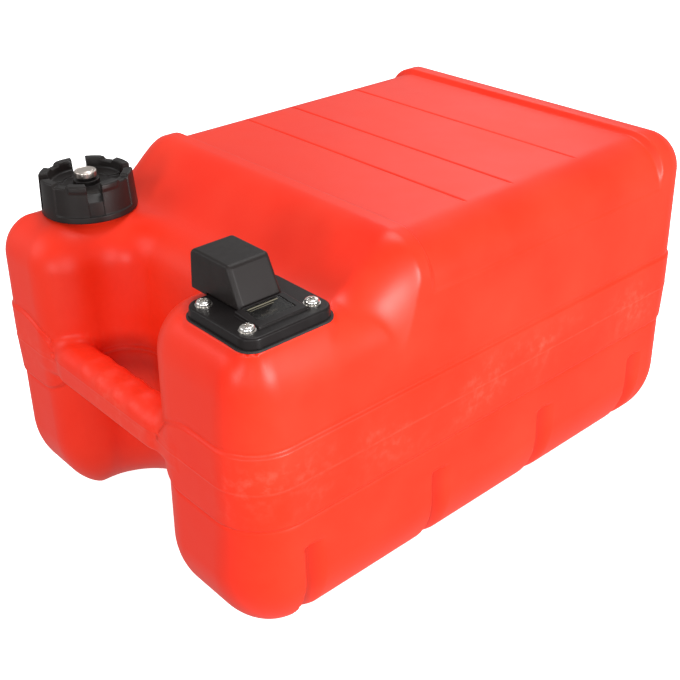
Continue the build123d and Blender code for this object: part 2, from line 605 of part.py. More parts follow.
def outlet_base():
    """The moulded outlet plate with gauge housing, connector block and locating ring."""
    base = rounded_plate(
        PLATE_SIZE, PLATE_LENGTH, PLATE_CORNER, GASKET_TOP, PLATE_TOP, PLATE_DRAFT
    )
    base = fillet(base.edges().group_by(Axis.Z)[-1], PLATE_EDGE)
    housing = wedge(HOUSING_LEFT, HOUSING_RIGHT, HOUSING_LENGTH, -PLATE_THICKNESS, 0.0)
    base += fillet(housing.edges().group_by(Axis.Z)[-1], 0.8)
    half = CONNECTOR_WIDTH / 2
    connector = block(
        CONNECTOR_LEFT, CONNECTOR_RIGHT, HOOD_Y - half, HOOD_Y + half, GASKET_TOP, CONNECTOR_TOP
    )
    base += fillet(connector.edges().filter_by(Axis.Z), 2.0)
    outer = OUTLET_HOLE - SPIGOT_CLEARANCE
    low = GASKET_TOP - SPIGOT_RING_DEPTH
    base += ring(OUTLET_X, OUTLET_Y, low, GASKET_TOP, outer, outer - SPIGOT_RING_WALL)
    base += cylinder(PICKUP_X, PORT_Y, GASKET_TOP - PICKUP_BOSS_DEPTH, GASKET_TOP, PICKUP_BOSS)

    # Fuel passage: tube socket, valve seat, valve bore, plug seat and the port's seat
    base -= cylinder(
        PICKUP_X, PORT_Y, GASKET_TOP - PICKUP_BOSS_DEPTH, TUBE_TOP, PICKUP_RADIUS
    )
    base -= cylinder(PICKUP_X, PORT_Y, TUBE_TOP, VALVE_SEAT, VALVE_SEAT_BORE)
    base -= cylinder(PICKUP_X, PORT_Y, VALVE_SEAT, PLUG_BOTTOM, VALVE_BORE)
    base -= cylinder(PICKUP_X, PORT_Y, PLUG_BOTTOM, CONNECTOR_TOP, PLUG_RADIUS)
    base -= rod_x(PORT_Y, CONNECTOR_LEFT, CONNECTOR_LEFT + PORT_SEAT, PORT_RADIUS)
    base -= rod_x(PORT_Y, CONNECTOR_LEFT, PICKUP_X, PORT_BORE * 0.7)
    base -= rod_x(PIN_Y, CONNECTOR_LEFT, CONNECTOR_LEFT + PORT_SEAT, PIN_RADIUS)

    # Gauge: window seat, chamber, bearing and the seats of the frame's rods
    base -= window_seat(0.0)
    half = CHAMBER_WIDTH / 2
    length = CHAMBER_LENGTH / 2
    base -= block(
        GAUGE_X - half, GAUGE_X + half, GAUGE_Y - length, GAUGE_Y + length,
        CHAMBER_BOTTOM, PLATE_TOP + HOUSING_RISE_LEFT
    )
    bearing = SPINDLE_RADIUS + SPINDLE_CLEARANCE
    base -= cylinder(GAUGE_X, GAUGE_Y, GASKET_TOP, CHAMBER_BOTTOM, bearing)
    for y in (GAUGE_Y - FRAME_ROD_OFFSET, GAUGE_Y + FRAME_ROD_OFFSET):
        base -= cylinder(GAUGE_X, y, GASKET_TOP, GASKET_TOP + FRAME_ROD_SEAT, FRAME_ROD_RADIUS)
    for x, y in SCREW_PLACES:
        hole = SCREW_RADIUS + SCREW_HOLE_CLEARANCE
        base -= cylinder(x, y, GASKET_TOP, PLATE_TOP, hole)
    return base


def rod_x(y, x0, x1, radius):
    """A round rod along X at the height of the port."""
    return Pos((x0 + x1) / 2, y, PORT_HEIGHT) * Rot(0, 90, 0) * Cylinder(radius, x1 - x0)


def base_gasket():
    """The gasket between the outlet plate and the shelf."""
    corner = PLATE_CORNER + (GASKET_SIZE - PLATE_SIZE) / 2
    gasket = rounded_plate(GASKET_SIZE, GASKET_LENGTH, corner, SHELF_HEIGHT, GASKET_TOP)
    gasket -= cylinder(OUTLET_X, OUTLET_Y, SHELF_HEIGHT, GASKET_TOP, OUTLET_HOLE)
    for x, y in SCREW_PLACES:
        hole = SCREW_RADIUS + SCREW_HOLE_CLEARANCE
        gasket -= cylinder(x, y, SHELF_HEIGHT, GASKET_TOP, hole)
    return gasket


def one_screw(x, y):
    """A pan-head screw with a cross recess."""
    seat = PLATE_TOP + WASHER_THICKNESS
    top = seat + SCREW_HEAD_HEIGHT
    head = cylinder(x, y, seat, top, SCREW_HEAD_RADIUS)
    head = fillet(head.edges().group_by(Axis.Z)[-1], 1.5)
    long = SCREW_CROSS / 2
    wide = SCREW_CROSS_WIDTH / 2
    floor = top - SCREW_CROSS_DEPTH
    head -= block(x - long, x + long, y - wide, y + wide, floor, top)
    head -= block(x - wide, x + wide, y - long, y + long, floor, top)
    return head + cylinder(x, y, seat - SCREW_LENGTH, seat, SCREW_RADIUS)


def one_washer(x, y):
    """A plain washer."""
    top = PLATE_TOP + WASHER_THICKNESS
    return ring(x, y, PLATE_TOP, top, WASHER_RADIUS, SCREW_RADIUS + INSERT_CLEARANCE)


def one_insert(x, y):
    """A brass insert moulded into the shelf."""
    bore = SCREW_RADIUS + INSERT_CLEARANCE
    return ring(x, y, SHELF_HEIGHT - INSERT_LENGTH, SHELF_HEIGHT, INSERT_RADIUS, bore)


def at_screws(make):
    """The same piece at every screw place, as one compound."""
    return Compound(children=[make(x, y) for x, y in SCREW_PLACES])


# ---- Gauge -----------------------------------------------------------------------------------
def ribbon_angle(z):
    """Direction of the twisted strip at a height, in degrees."""
    return RIBBON_TURN_RATE * (z - TWIST_START)


def gauge_ribbon():
    """The twisted strip with a spindle at each end."""
    section = Pos(GAUGE_X, GAUGE_Y, TWIST_START) * Rectangle(RIBBON_WIDTH, RIBBON_THICKNESS)
    height = TWIST_END - TWIST_START
    ribbon = Solid.extrude_linear_with_rotation(
        section.face(), (GAUGE_X, GAUGE_Y, TWIST_START), (0, 0, height), ribbon_angle(TWIST_END)
    )
    overlap = RIBBON_COLLAR
    ribbon += cylinder(GAUGE_X, GAUGE_Y, FRAME_BOTTOM, TWIST_START + overlap, SPINDLE_RADIUS)
    ribbon += cylinder(GAUGE_X, GAUGE_Y, RIBBON_BOTTOM + 0.1, TWIST_START, RIBBON_WIDTH / 2)
    return ribbon + cylinder(GAUGE_X, GAUGE_Y, TWIST_END - overlap, POINTER_TOP, SPINDLE_RADIUS)


def gauge_pointer():
    """The pointer pressed on the upper spindle."""
    middle = (POINTER_BOTTOM + POINTER_TOP) / 2
    bar = Pos(GAUGE_X, GAUGE_Y, middle) * Box(
        POINTER_WIDTH, 2 * POINTER_REACH, POINTER_THICKNESS
    )
    pointer = bar + cylinder(GAUGE_X, GAUGE_Y, POINTER_BOTTOM, POINTER_TOP, POINTER_HUB)
    return pointer - cylinder(GAUGE_X, GAUGE_Y, POINTER_BOTTOM, POINTER_TOP, SPINDLE_RADIUS)


def gauge_dial():
    """The dial plate on the chamber's floor."""
    half = CHAMBER_WIDTH / 2 - WINDOW_CLEARANCE
    length = CHAMBER_LENGTH / 2 - WINDOW_CLEARANCE
    dial = block(
        GAUGE_X - half, GAUGE_X + half, GAUGE_Y - length, GAUGE_Y + length,
        CHAMBER_BOTTOM, DIAL_TOP
    )
    hole = SPINDLE_RADIUS + POINTER_LIFT
    return dial - cylinder(GAUGE_X, GAUGE_Y, CHAMBER_BOTTOM, DIAL_TOP, hole)


def gauge_window():
    """The clear window over the dial."""
    return window_seat(WINDOW_CLEARANCE)


def gauge_frame():
    """Two guide rods and the foot that holds the lower bearing."""
    half = FRAME_ROD_OFFSET + FRAME_FOOT
    wide = FRAME_FOOT_WIDTH / 2
    frame = block(
        GAUGE_X - wide, GAUGE_X + wide, GAUGE_Y - half, GAUGE_Y + half,
        FRAME_BOTTOM, RIBBON_BOTTOM
    )
    for y in (GAUGE_Y - FRAME_ROD_OFFSET, GAUGE_Y + FRAME_ROD_OFFSET):
        top = GASKET_TOP + FRAME_ROD_SEAT
        frame += cylinder(GAUGE_X, y, FRAME_BOTTOM, top, FRAME_ROD_RADIUS)
    bearing = SPINDLE_RADIUS + SPINDLE_CLEARANCE
    return frame - cylinder(GAUGE_X, GAUGE_Y, FRAME_BOTTOM, RIBBON_BOTTOM, bearing)


def gauge_float():
    """The foam float, bored for the strip and the rods, with a seat for the follower on top."""
    body = cylinder(GAUGE_X, GAUGE_Y, FLOAT_BOTTOM, FLOAT_TOP, FLOAT_RADIUS)
    body = fillet(body.edges().filter_by(GeomType.CIRCLE), 1.2)
    body -= cylinder(GAUGE_X, GAUGE_Y, FLOAT_BOTTOM, FLOAT_TOP, FLOAT_BORE)
    seat = FLOAT_TOP - FOLLOWER_THICKNESS
    body -= cylinder(GAUGE_X, GAUGE_Y, seat, FLOAT_TOP, FOLLOWER_RADIUS)
    for y in (GAUGE_Y - FRAME_ROD_OFFSET, GAUGE_Y + FRAME_ROD_OFFSET):
        hole = FRAME_ROD_RADIUS + FLOAT_ROD_CLEARANCE
        body -= cylinder(GAUGE_X, y, FLOAT_BOTTOM, FLOAT_TOP, hole)
    return body


def float_follower():
    """The slotted plate in the float that turns the strip as the float rises."""
    low = FLOAT_TOP - FOLLOWER_THICKNESS
    plate = cylinder(GAUGE_X, GAUGE_Y, low, FLOAT_TOP, FOLLOWER_RADIUS)
    for y in (GAUGE_Y - FRAME_ROD_OFFSET, GAUGE_Y + FRAME_ROD_OFFSET):
        plate -= cylinder(GAUGE_X, y, low, FLOAT_TOP, FRAME_ROD_RADIUS + FLOAT_ROD_CLEARANCE)
    middle = (low + FLOAT_TOP) / 2
    slot = Box(
        RIBBON_WIDTH + 2 * FOLLOWER_CLEARANCE,
        RIBBON_THICKNESS + 2 * FOLLOWER_CLEARANCE,
        2 * FOLLOWER_THICKNESS,
    )
    return plate - Pos(GAUGE_X, GAUGE_Y, middle) * Rot(0, 0, ribbon_angle(middle)) * slot


# ---- Fuel outlet -----------------------------------------------------------------------------
def fuel_port():
    """The spigot that the fuel line's coupling goes over."""
    end = CONNECTOR_LEFT + PORT_SEAT - PORT_LENGTH
    port = rod_x(PORT_Y, end, end + PORT_LENGTH, PORT_RADIUS)
    port = chamfer(port.edges().group_by(Axis.X)[0], 0.8)
    groove = rod_x(PORT_Y, end + RING_SET, end + RING_SET + 2 * RING_SECTION, 2 * PORT_RADIUS)
    groove -= rod_x(PORT_Y, end, end + PORT_LENGTH, PORT_RADIUS - RING_GROOVE)
    return port - groove - rod_x(PORT_Y, end, end + PORT_LENGTH, PORT_BORE)


def port_ring():
    """The sealing ring in the port's groove."""
    x = CONNECTOR_LEFT + PORT_SEAT - PORT_LENGTH + RING_SET + RING_SECTION
    major = PORT_RADIUS - RING_GROOVE + RING_SECTION
    return Pos(x, PORT_Y, PORT_HEIGHT) * Rot(0, 90, 0) * Torus(major, RING_SECTION)


def locating_pin():
    """The pin that sets the coupling the right way round."""
    end = CONNECTOR_LEFT + PORT_SEAT - PIN_LENGTH
    pin = rod_x(PIN_Y, end, end + PIN_LENGTH, PIN_RADIUS)
    return chamfer(pin.edges().group_by(Axis.X)[0], 0.6)


def check_ball():
    """The ball that closes the fuel passage when no fuel is drawn."""
    return Pos(PICKUP_X, PORT_Y, BALL_HEIGHT) * Sphere(BALL_RADIUS)


def check_spring():
    """The spring that holds the ball on its seat."""
    low = BALL_HEIGHT + SPRING_TOUCH
    length = PLUG_BOTTOM - SPRING_WIRE - low
    coil = Helix(length / SPRING_TURNS, length, SPRING_RADIUS)
    start = Plane(origin=coil @ 0, z_dir=coil % 0)
    wire = sweep(start * Circle(SPRING_WIRE), path=coil)
    return Pos(PICKUP_X, PORT_Y, low) * wire


def valve_plug():
    """The plug that closes the valve bore and carries the spring."""
    return cylinder(PICKUP_X, PORT_Y, PLUG_BOTTOM, CONNECTOR_TOP, PLUG_RADIUS)


def pickup_tube():
    """The tube from the valve down to the bottom of the tank."""
    return ring(PICKUP_X, PORT_Y, PICKUP_END, TUBE_TOP, PICKUP_RADIUS, PICKUP_RADIUS - PICKUP_WALL)


def pickup_filter():
    """The strainer pushed onto the tube's lower end."""
    cup = ring(
        PICKUP_X, PORT_Y, FILTER_BOTTOM, PICKUP_END + FILTER_GRIP, FILTER_RADIUS, PICKUP_RADIUS
    )
    floor = cylinder(
        PICKUP_X, PORT_Y, FILTER_BOTTOM, FILTER_BOTTOM + FILTER_FLOOR, FILTER_RADIUS
    )
    return cup + floor


def dust_cap():
    """The hood over the connector, open below, with a lip that hangs over the plate's edge."""
    plate_edge = OUTLET_X - PLATE_SIZE / 2 - HOOD_LIP_GAP
    seat = PLATE_TOP + HOOD_SEAT_GAP
    corners = [
        (HOOD_LEFT_BOTTOM, HOOD_OVERHANG_HEIGHT),
        (plate_edge, HOOD_OVERHANG_HEIGHT),
        (plate_edge, seat),
        (HOOD_RIGHT_BOTTOM, seat),
        (HOOD_RIGHT_TOP, HOOD_RIGHT_HEIGHT),
        (HOOD_LEFT_TOP, HOOD_LEFT_HEIGHT),
    ]
    half = HOOD_WIDTH / 2
    section = make_face(Plane.XZ * Polyline(*corners, close=True))
    hood = Pos(0, HOOD_Y, 0) * extrude(section, half, both=True)
    upper = [e for e in hood.edges() if e.center().Z > seat + HOOD_WALL]
    hood = fillet(upper, HOOD_EDGE)
    inside = [
        (HOOD_LEFT_BOTTOM + HOOD_WALL, HOOD_OVERHANG_HEIGHT - HOOD_WALL),
        (HOOD_RIGHT_BOTTOM - HOOD_WALL, HOOD_OVERHANG_HEIGHT - HOOD_WALL),
        (HOOD_RIGHT_BOTTOM - HOOD_WALL, seat),
        (HOOD_RIGHT_TOP - HOOD_WALL, HOOD_RIGHT_HEIGHT - HOOD_WALL),
        (HOOD_LEFT_TOP + HOOD_WALL, HOOD_LEFT_HEIGHT - HOOD_WALL),
    ]
    cavity = make_face(Plane.XZ * Polyline(*inside, close=True))
    return hood - Pos(0, HOOD_Y, 0) * extrude(cavity, half - HOOD_WALL, both=True)


PIECES = {
    "tank_body": tank_body,
    "cap_shell": cap_shell,
    "cap_liner": cap_liner,
    "vent_screw": vent_screw,
    "vent_stop": vent_stop,
    "vent_seal": vent_seal,
    "outlet_base": outlet_base,
    "base_gasket": base_gasket,
    "plate_screws": lambda: at_screws(one_screw),
    "screw_washers": lambda: at_screws(one_washer),
    "screw_inserts": lambda: at_screws(one_insert),
    "gauge_window": gauge_window,
    "gauge_dial": gauge_dial,
    "gauge_pointer": gauge_pointer,
    "gauge_ribbon": gauge_ribbon,
    "gauge_frame": gauge_frame,
    "gauge_float": gauge_float,
    "float_follower": float_follower,
    "fuel_port": fuel_port,
    "port_ring": port_ring,
    "locating_pin": locating_pin,
    "check_ball": check_ball,
    "check_spring": check_spring,
    "valve_plug": valve_plug,
    "pickup_tube": pickup_tube,
    "pickup_filter": pickup_filter,
    "dust_cap": dust_cap,
}

if __name__ == "__main__":
    os.makedirs("parts", exist_ok=True)
    for name, make in PIECES.items():
        export_step(make(), f"parts/{name}.step")
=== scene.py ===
import logging
import math
from dataclasses import dataclass
from functools import reduce
from typing import Callable, Sequence

import bpy
import numpy as np
from mathutils import Matrix, Vector


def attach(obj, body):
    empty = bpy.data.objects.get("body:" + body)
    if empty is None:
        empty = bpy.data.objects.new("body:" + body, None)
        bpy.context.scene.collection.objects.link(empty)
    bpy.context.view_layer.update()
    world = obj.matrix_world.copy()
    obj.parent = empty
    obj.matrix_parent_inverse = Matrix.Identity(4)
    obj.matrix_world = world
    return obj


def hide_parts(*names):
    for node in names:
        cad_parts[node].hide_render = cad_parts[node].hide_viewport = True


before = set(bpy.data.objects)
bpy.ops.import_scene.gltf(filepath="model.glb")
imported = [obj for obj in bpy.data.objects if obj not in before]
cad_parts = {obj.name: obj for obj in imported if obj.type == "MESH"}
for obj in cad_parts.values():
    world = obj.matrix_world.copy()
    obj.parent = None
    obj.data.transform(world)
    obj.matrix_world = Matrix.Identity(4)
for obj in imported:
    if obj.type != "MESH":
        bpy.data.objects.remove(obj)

Socket = bpy.types.NodeSocket
Array = np.ndarray
Field = Callable[[Array, Array, Array], Array]
Pair = tuple[float, float]

# Sizes and places are in millimetres of the row frame, unless a name or docstring says otherwise.
MM = 0.001
FRONT = -226.0  # the handle face
CAP_X, CAP_Y = -107.6, -163.6
OUTLET_X, OUTLET_Y = 112.5, -178.0
GAUGE_X, GAUGE_Y = 123.5, -179.0
HOUSING_TOP = ((113.8, 251.6), (137.0, 250.1))  # the gauge housing's top in x and z
THREAD_PITCH, THREAD_LEVEL = 4.5, 252.0  # a crest of the neck's thread points to +X there
BAND_LOW, PARTING, BAND_HIGH = 113.0, 143.0, 170.0  # the proud band and its parting line
GROOVE_START, GROOVE_PITCH = 43.0, 117.0  # of the side grooves, from the handle face
GROOVE_TOP = 90.0
log = logging.getLogger("outboard_tank")


# ---- Materials ----
def linear(colour: str) -> tuple[float, float, float, float]:
    """Turn an sRGB hex colour to linear RGBA.

    Args:
        colour: Hex colour such as "#d8301c".

    Returns:
        Linear red, green, blue and an alpha of 1.
    """
    parts = [int(colour[i:i + 2], 16) / 255 for i in (1, 3, 5)]
    out = [c / 12.92 if c <= 0.04045 else ((c + 0.055) / 1.055) ** 2.4 for c in parts]
    return out[0], out[1], out[2], 1.0


class Shader:
    """A material in the making. Its place socket gives the position on the piece, in metres."""

    def __init__(self, name: str) -> None:
        """Start an empty material.

        Args:
            name: Material name.
        """
        self.material = bpy.data.materials.new(name)
        self.material.use_nodes = True
        self.tree = self.material.node_tree
        self.tree.nodes.clear()
        self.place = self.node("ShaderNodeTexCoord").outputs["Object"]

    def node(self, kind: str, inputs: dict | None = None, **settings: str) -> bpy.types.Node:
        """Add a node.

        Args:
            kind: Node type name.
            inputs: What each input takes, by name or index: a socket to link from, or a value.
            settings: Attributes set on the node.

        Returns:
            The new node.
        """
        node = self.tree.nodes.new(kind)
        for key, value in settings.items():
            setattr(node, key, value)
        for key, value in (inputs or {}).items():
            if isinstance(value, Socket):
                self.tree.links.new(value, node.inputs[key])
            else:
                node.inputs[key].default_value = value
        return node

    def maths(self, operation: str, *values: Socket | float) -> Socket:
        """Result of one operation on sockets or numbers."""
        return self.node("ShaderNodeMath", dict(enumerate(values)), operation=operation).outputs[0]

    def product(self, *values: Socket) -> Socket:
        """Product of several values.

        Args:
            values: At least one value.

        Returns:
            Their product.
        """
        result = values[0]
        for value in values[1:]:
            result = self.maths("MULTIPLY", result, value)
        return result

    def ramp(self, value: Socket, start: Pair, end: Pair, unit: float = 1.0) -> Socket:
        """Clamped ramp of a value.

        Args:
            value: What the ramp follows.
            start: Input and output where it starts.
            end: Input and output where it ends.
            unit: What its inputs are counted in.

        Returns:
            The ramp's result.
        """
        ends = {"From Min": start[0] * unit, "From Max": end[0] * unit}
        ends |= {"To Min": start[1], "To Max": end[1]}
        return self.node("ShaderNodeMapRange", {"Value": value, **ends}).outputs["Result"]

    def noise(self, size_mm: float, detail: float, rough: float) -> Socket:
        """Noise with features of a size in millimetres."""
        inputs = {"Scale": 1 / (size_mm * MM), "Detail": detail, "Roughness": rough}
        return self.node("ShaderNodeTexNoise", {"Vector": self.place, **inputs}).outputs["Fac"]

    def bump(
        self, height: Socket, strength: float, depth_mm: float, below: Socket | None = None
    ) -> Socket:
        """Normal of the relief that a height makes, on top of the relief below it.

        Args:
            height: What makes the relief.
            strength: How much of it shows, from 0 to 1.
            depth_mm: Its depth in millimetres.
            below: Normal of the relief below, if any.

        Returns:
            The normal.
        """
        inputs = {"Height": height, "Strength": strength, "Distance": depth_mm * MM}
        if below is not None:
            inputs["Normal"] = below
        return self.node("ShaderNodeBump", inputs).outputs["Normal"]

    def tint(self, below: Socket | Sequence[float], tone: str, share: Socket) -> Socket:
        """The colour below with a share of another tone."""
        inputs = {0: share, 6: below, 7: linear(tone)}
        return self.node("ShaderNodeMix", inputs, data_type="RGBA").outputs[2]

    def close(self, inputs: dict) -> bpy.types.Material:
        """Finish the material with a principled surface.

        Args:
            inputs: Sockets or values by input name.

        Returns:
            The material.
        """
        surface = self.node("ShaderNodeBsdfPrincipled", inputs)
        self.node("ShaderNodeOutputMaterial", {0: surface.outputs[0]})
        return self.material


@dataclass(frozen=True)
class MouldedPolyethylene:
    """Blow-moulded high-density polyethylene, pigmented red.

    Air presses the soft plastic against a sand-blasted tool, so it has a soft satin sheen, slight
    waviness over the panels and a faint fine grain, which is drawn coarser than it is so that it
    shows. Handling leaves pale scuffs on the proud band and chalky wear along the parting line.
    The side grooves are darkened at their steep front edges with painted shade.
    """

    colour: str = "#e72b13"
    pale: str = "#ee583e"
    worn: str = "#f08a78"
    # darker red that paints shade into the side grooves
    groove_shade: str = "#9c2213"
    pale_share: float = 0.16
    scuff_share: float = 0.17
    chalk_share: float = 0.06
    groove_shade_share: float = 0.7
    roughness: float = 0.38
    ior: float = 1.54
    sheen: float = 0.21
    grain_mm: float = 1.1
    wave_mm: float = 38.0
    cloud_mm: float = 70.0
    scuff_mm: float = 7.0
    chalk_mm: float = 9.0
    line_mm: float = 1.1
    side_start: float = 100.0

    def scuffs(self, shader: Shader, height: Socket) -> Socket:
        """How far handling has paled the proud band at a height.

        Args:
            shader: The material in the making.
            height: Height on the piece, in metres.

        Returns:
            A share from 0 to 1.
        """
        return shader.product(
            shader.ramp(height, (BAND_LOW - 2.0, 0.0), (BAND_LOW + 12.0, 1.0), MM),
            shader.ramp(height, (BAND_HIGH - 20.0, 1.0), (BAND_HIGH, 0.0), MM),
            shader.ramp(shader.noise(self.scuff_mm, 5.0, 0.66), (0.48, 0.0), (0.72, 1.0)),
            shader.ramp(shader.noise(self.cloud_mm, 3.0, 0.5), (0.42, 0.1), (0.62, 1.0)),
        )

    def chalk(self, shader: Shader, height: Socket) -> Socket:
        """How chalky the parting line is at a height.

        Args:
            shader: The material in the making.
            height: Height on the piece, in metres.

        Returns:
            A share from 0 to 1.
        """
        away = shader.maths("ABSOLUTE", shader.maths("SUBTRACT", height, PARTING * MM))
        return shader.product(
            shader.ramp(away, (0.2 * self.line_mm, 1.0), (self.line_mm, 0.0), MM),
            shader.ramp(shader.noise(self.chalk_mm, 3.0, 0.6), (0.35, 0.15), (0.62, 1.0)),
        )

    def painted_groove_shade(self, shader: Shader, across: Socket, along: Socket, height: Socket) -> Socket:
        """How much painted shade darkens the side grooves, most of it at their steep front edges.

        Args:
            shader: The material in the making.
            across: Position on the piece across, in metres.
            along: Position along.
            height: Position in height.

        Returns:
            A share from 0 to 1.
        """
        behind = shader.maths("SUBTRACT", along, (FRONT + GROOVE_START) * MM)
        behind = shader.maths("FLOORED_MODULO", behind, GROOVE_PITCH * MM)
        aside = shader.maths("ABSOLUTE", across)
        return shader.product(
            shader.ramp(behind, (0.0, 0.5), (0.6, 1.0), MM),
            shader.ramp(behind, (5.0, 1.0), (14.0, 0.0), MM),
            shader.ramp(aside, (self.side_start, 0.0), (self.side_start + 12.0, 1.0), MM),
            shader.ramp(height, (GROOVE_TOP - 4.0, 1.0), (GROOVE_TOP - 1.0, 0.0), MM),
        )

    def make(self, name: str) -> bpy.types.Material:
        """Build the material.

        Args:
            name: Material name.

        Returns:
            The material.
        """
        shader = Shader(name)
        place = shader.node("ShaderNodeSeparateXYZ", {0: shader.place}).outputs
        cloud = shader.noise(self.cloud_mm, 4.0, 0.55)
        fine = shader.bump(shader.noise(self.grain_mm, 2.0, 0.6), 0.10, 0.3)
        waved = shader.bump(shader.noise(self.wave_mm, 1.5, 0.4), 0.35, 1.4, fine)
        scuffed = shader.maths("MULTIPLY", self.scuffs(shader, place[2]), self.scuff_share)
        chalked = shader.maths("MULTIPLY", self.chalk(shader, place[2]), self.chalk_share)
        # painted shade at the steep front edges of the side grooves
        groove_shaded = shader.maths("MULTIPLY", self.painted_groove_shade(shader, *place), self.groove_shade_share)
        paled = shader.ramp(cloud, (0.35, 0.0), (0.75, self.pale_share))
        colour = shader.tint(linear(self.colour), self.pale, paled)
        for tone, share in ((self.worn, scuffed), (self.worn, chalked), (self.groove_shade, groove_shaded)):
            colour = shader.tint(colour, tone, share)
        rough = shader.ramp(cloud, (0.3, self.roughness - 0.04), (0.7, self.roughness + 0.06))
        return shader.close({
            "Base Color": colour, "Roughness": rough, "Normal": waved, "IOR": self.ior,
            "Specular IOR Level": self.sheen,
        })


@dataclass(frozen=True)
class Grained:
    """A hard or soft surface with a fine grain and slightly uneven gloss.

    By default it is injection-moulded black plastic, whose grain comes from a spark-eroded tool
    and dulls it. The grain is drawn coarser than it is so that it shows. Where a piece has another
    finish, its class or a comment says how its surface was made.
    """

    colour: str = "#262222"
    roughness: float = 0.45
    grain_mm: float = 0.5
    relief: float = 0.12
    metallic: float = 0.0
    ior: float = 1.49
    gloss: float = 0.5
    cloud_mm: float = 11.11

    def make(self, name: str) -> bpy.types.Material:
        """Build the material.

        Args:
            name: Material name.

        Returns:
            The material.
        """
        shader = Shader(name)
        cloud = shader.noise(self.cloud_mm, 4.0, 0.6)
        rough = shader.ramp(cloud, (0.3, self.roughness - 0.06), (0.7, self.roughness + 0.08))
        relief = shader.bump(shader.noise(self.grain_mm, 2.0, 0.6), self.relief, 0.2)
        return shader.close({
            "Base Color": linear(self.colour), "Roughness": rough, "Normal": relief,
            "Metallic": self.metallic, "IOR": self.ior, "Specular IOR Level": self.gloss,
        })


@dataclass(frozen=True)
class ClearMoulding:
    """Smoke-tinted clear plastic, moulded in a polished tool, so it is smooth and glossy."""

    colour: str = "#8a857e"
    roughness: float = 0.10
    ior: float = 1.49

    def make(self, name: str) -> bpy.types.Material:
        """Build the material of that name."""
        return Shader(name).close({
            "Base Color": linear(self.colour), "Roughness": self.roughness, "IOR": self.ior,
            "Transmission Weight": 1.0,
        })


# ---- Rounded solids from distance fields ----
def round_max(a: Array, b: Array, radius: float) -> Array:
    """Intersection of two fields with a circular round.

    Args:
        a: One field's values.
        b: The other's.
        radius: Radius of the round.

    Returns:
        The rounded intersection's values.
    """
    u = np.maximum(a + radius, 0.0)
    v = np.maximum(b + radius, 0.0)
    return np.minimum(np.maximum(a, b), -radius) + np.sqrt(u * u + v * v)


def round_min(a: Array, b: Array, radius: float) -> Array:
    """Union of two fields with a circular fillet of the given radius."""
    return -round_max(-a, -b, radius)


def both(*fields: Array) -> Array:
    """Intersection of fields with sharp edges."""
    return reduce(np.maximum, fields)


def either(*fields: Array) -> Array:
    """Union of fields with sharp edges."""
    return reduce(np.minimum, fields)


def ease(low: float, high: float, value: Array) -> Array:
    """Smooth step from 0 at low to 1 at high."""
    t = np.clip((value - low) / (high - low), 0.0, 1.0)
    return t * t * (3.0 - 2.0 * t)


def past(level: float, blur: float, value: Array) -> Array:
    """Smooth step from 0 to 1 across a level, blurred on both sides of it."""
    return ease(level - blur, level + blur, value)


def arch(reach: Pair, value: Array, soft: float = 0.2) -> Array:
    """Near a quarter of an ellipse: 0 before the reach, 1 after it, steep where it starts."""
    t = np.clip((value - reach[0]) / (reach[1] - reach[0]), 0.0, 1.0)
    return (np.sqrt(t * (2.0 - t) + soft ** 2) - soft) / (math.hypot(1.0, soft) - soft)


def rounded_box(qx: Array, qy: Array, radius: Array | float) -> Array:
    """Distance to a box with rounded corners from the offsets to its sides.

    Args:
        qx: How far a point is beyond the box's sides across.
        qy: How far it is beyond the sides along.
        radius: Radius of the corners.

    Returns:
        Distance, negative inside.
    """
    a = qx + radius
    b = qy + radius
    outside = np.sqrt(np.maximum(a, 0.0) ** 2 + np.maximum(b, 0.0) ** 2)
    return np.minimum(np.maximum(a, b), 0.0) + outside - radius


def bell(away: Array, width: float) -> Array:
    """1 where away is 0, and nearly 0 beyond twice the width."""
    return np.exp(-((away / width) ** 2))


def graded(stops: Sequence[Pair], end: float) -> Array:
    """Grid lines with a spacing of their own for each stretch.

    Args:
        stops: (start, spacing) of each stretch, in order.
        end: Where the last stretch ends.

    Returns:
        Increasing coordinates.
    """
    lines: list[Array] = []
    for number, (start, spacing) in enumerate(stops):
        stop = stops[number + 1][0] if number + 1 < len(stops) else end
        count = max(1, round((stop - start) / spacing))
        lines.append(np.linspace(start, stop, count, endpoint=False))
    return np.concatenate([*lines, [end]])


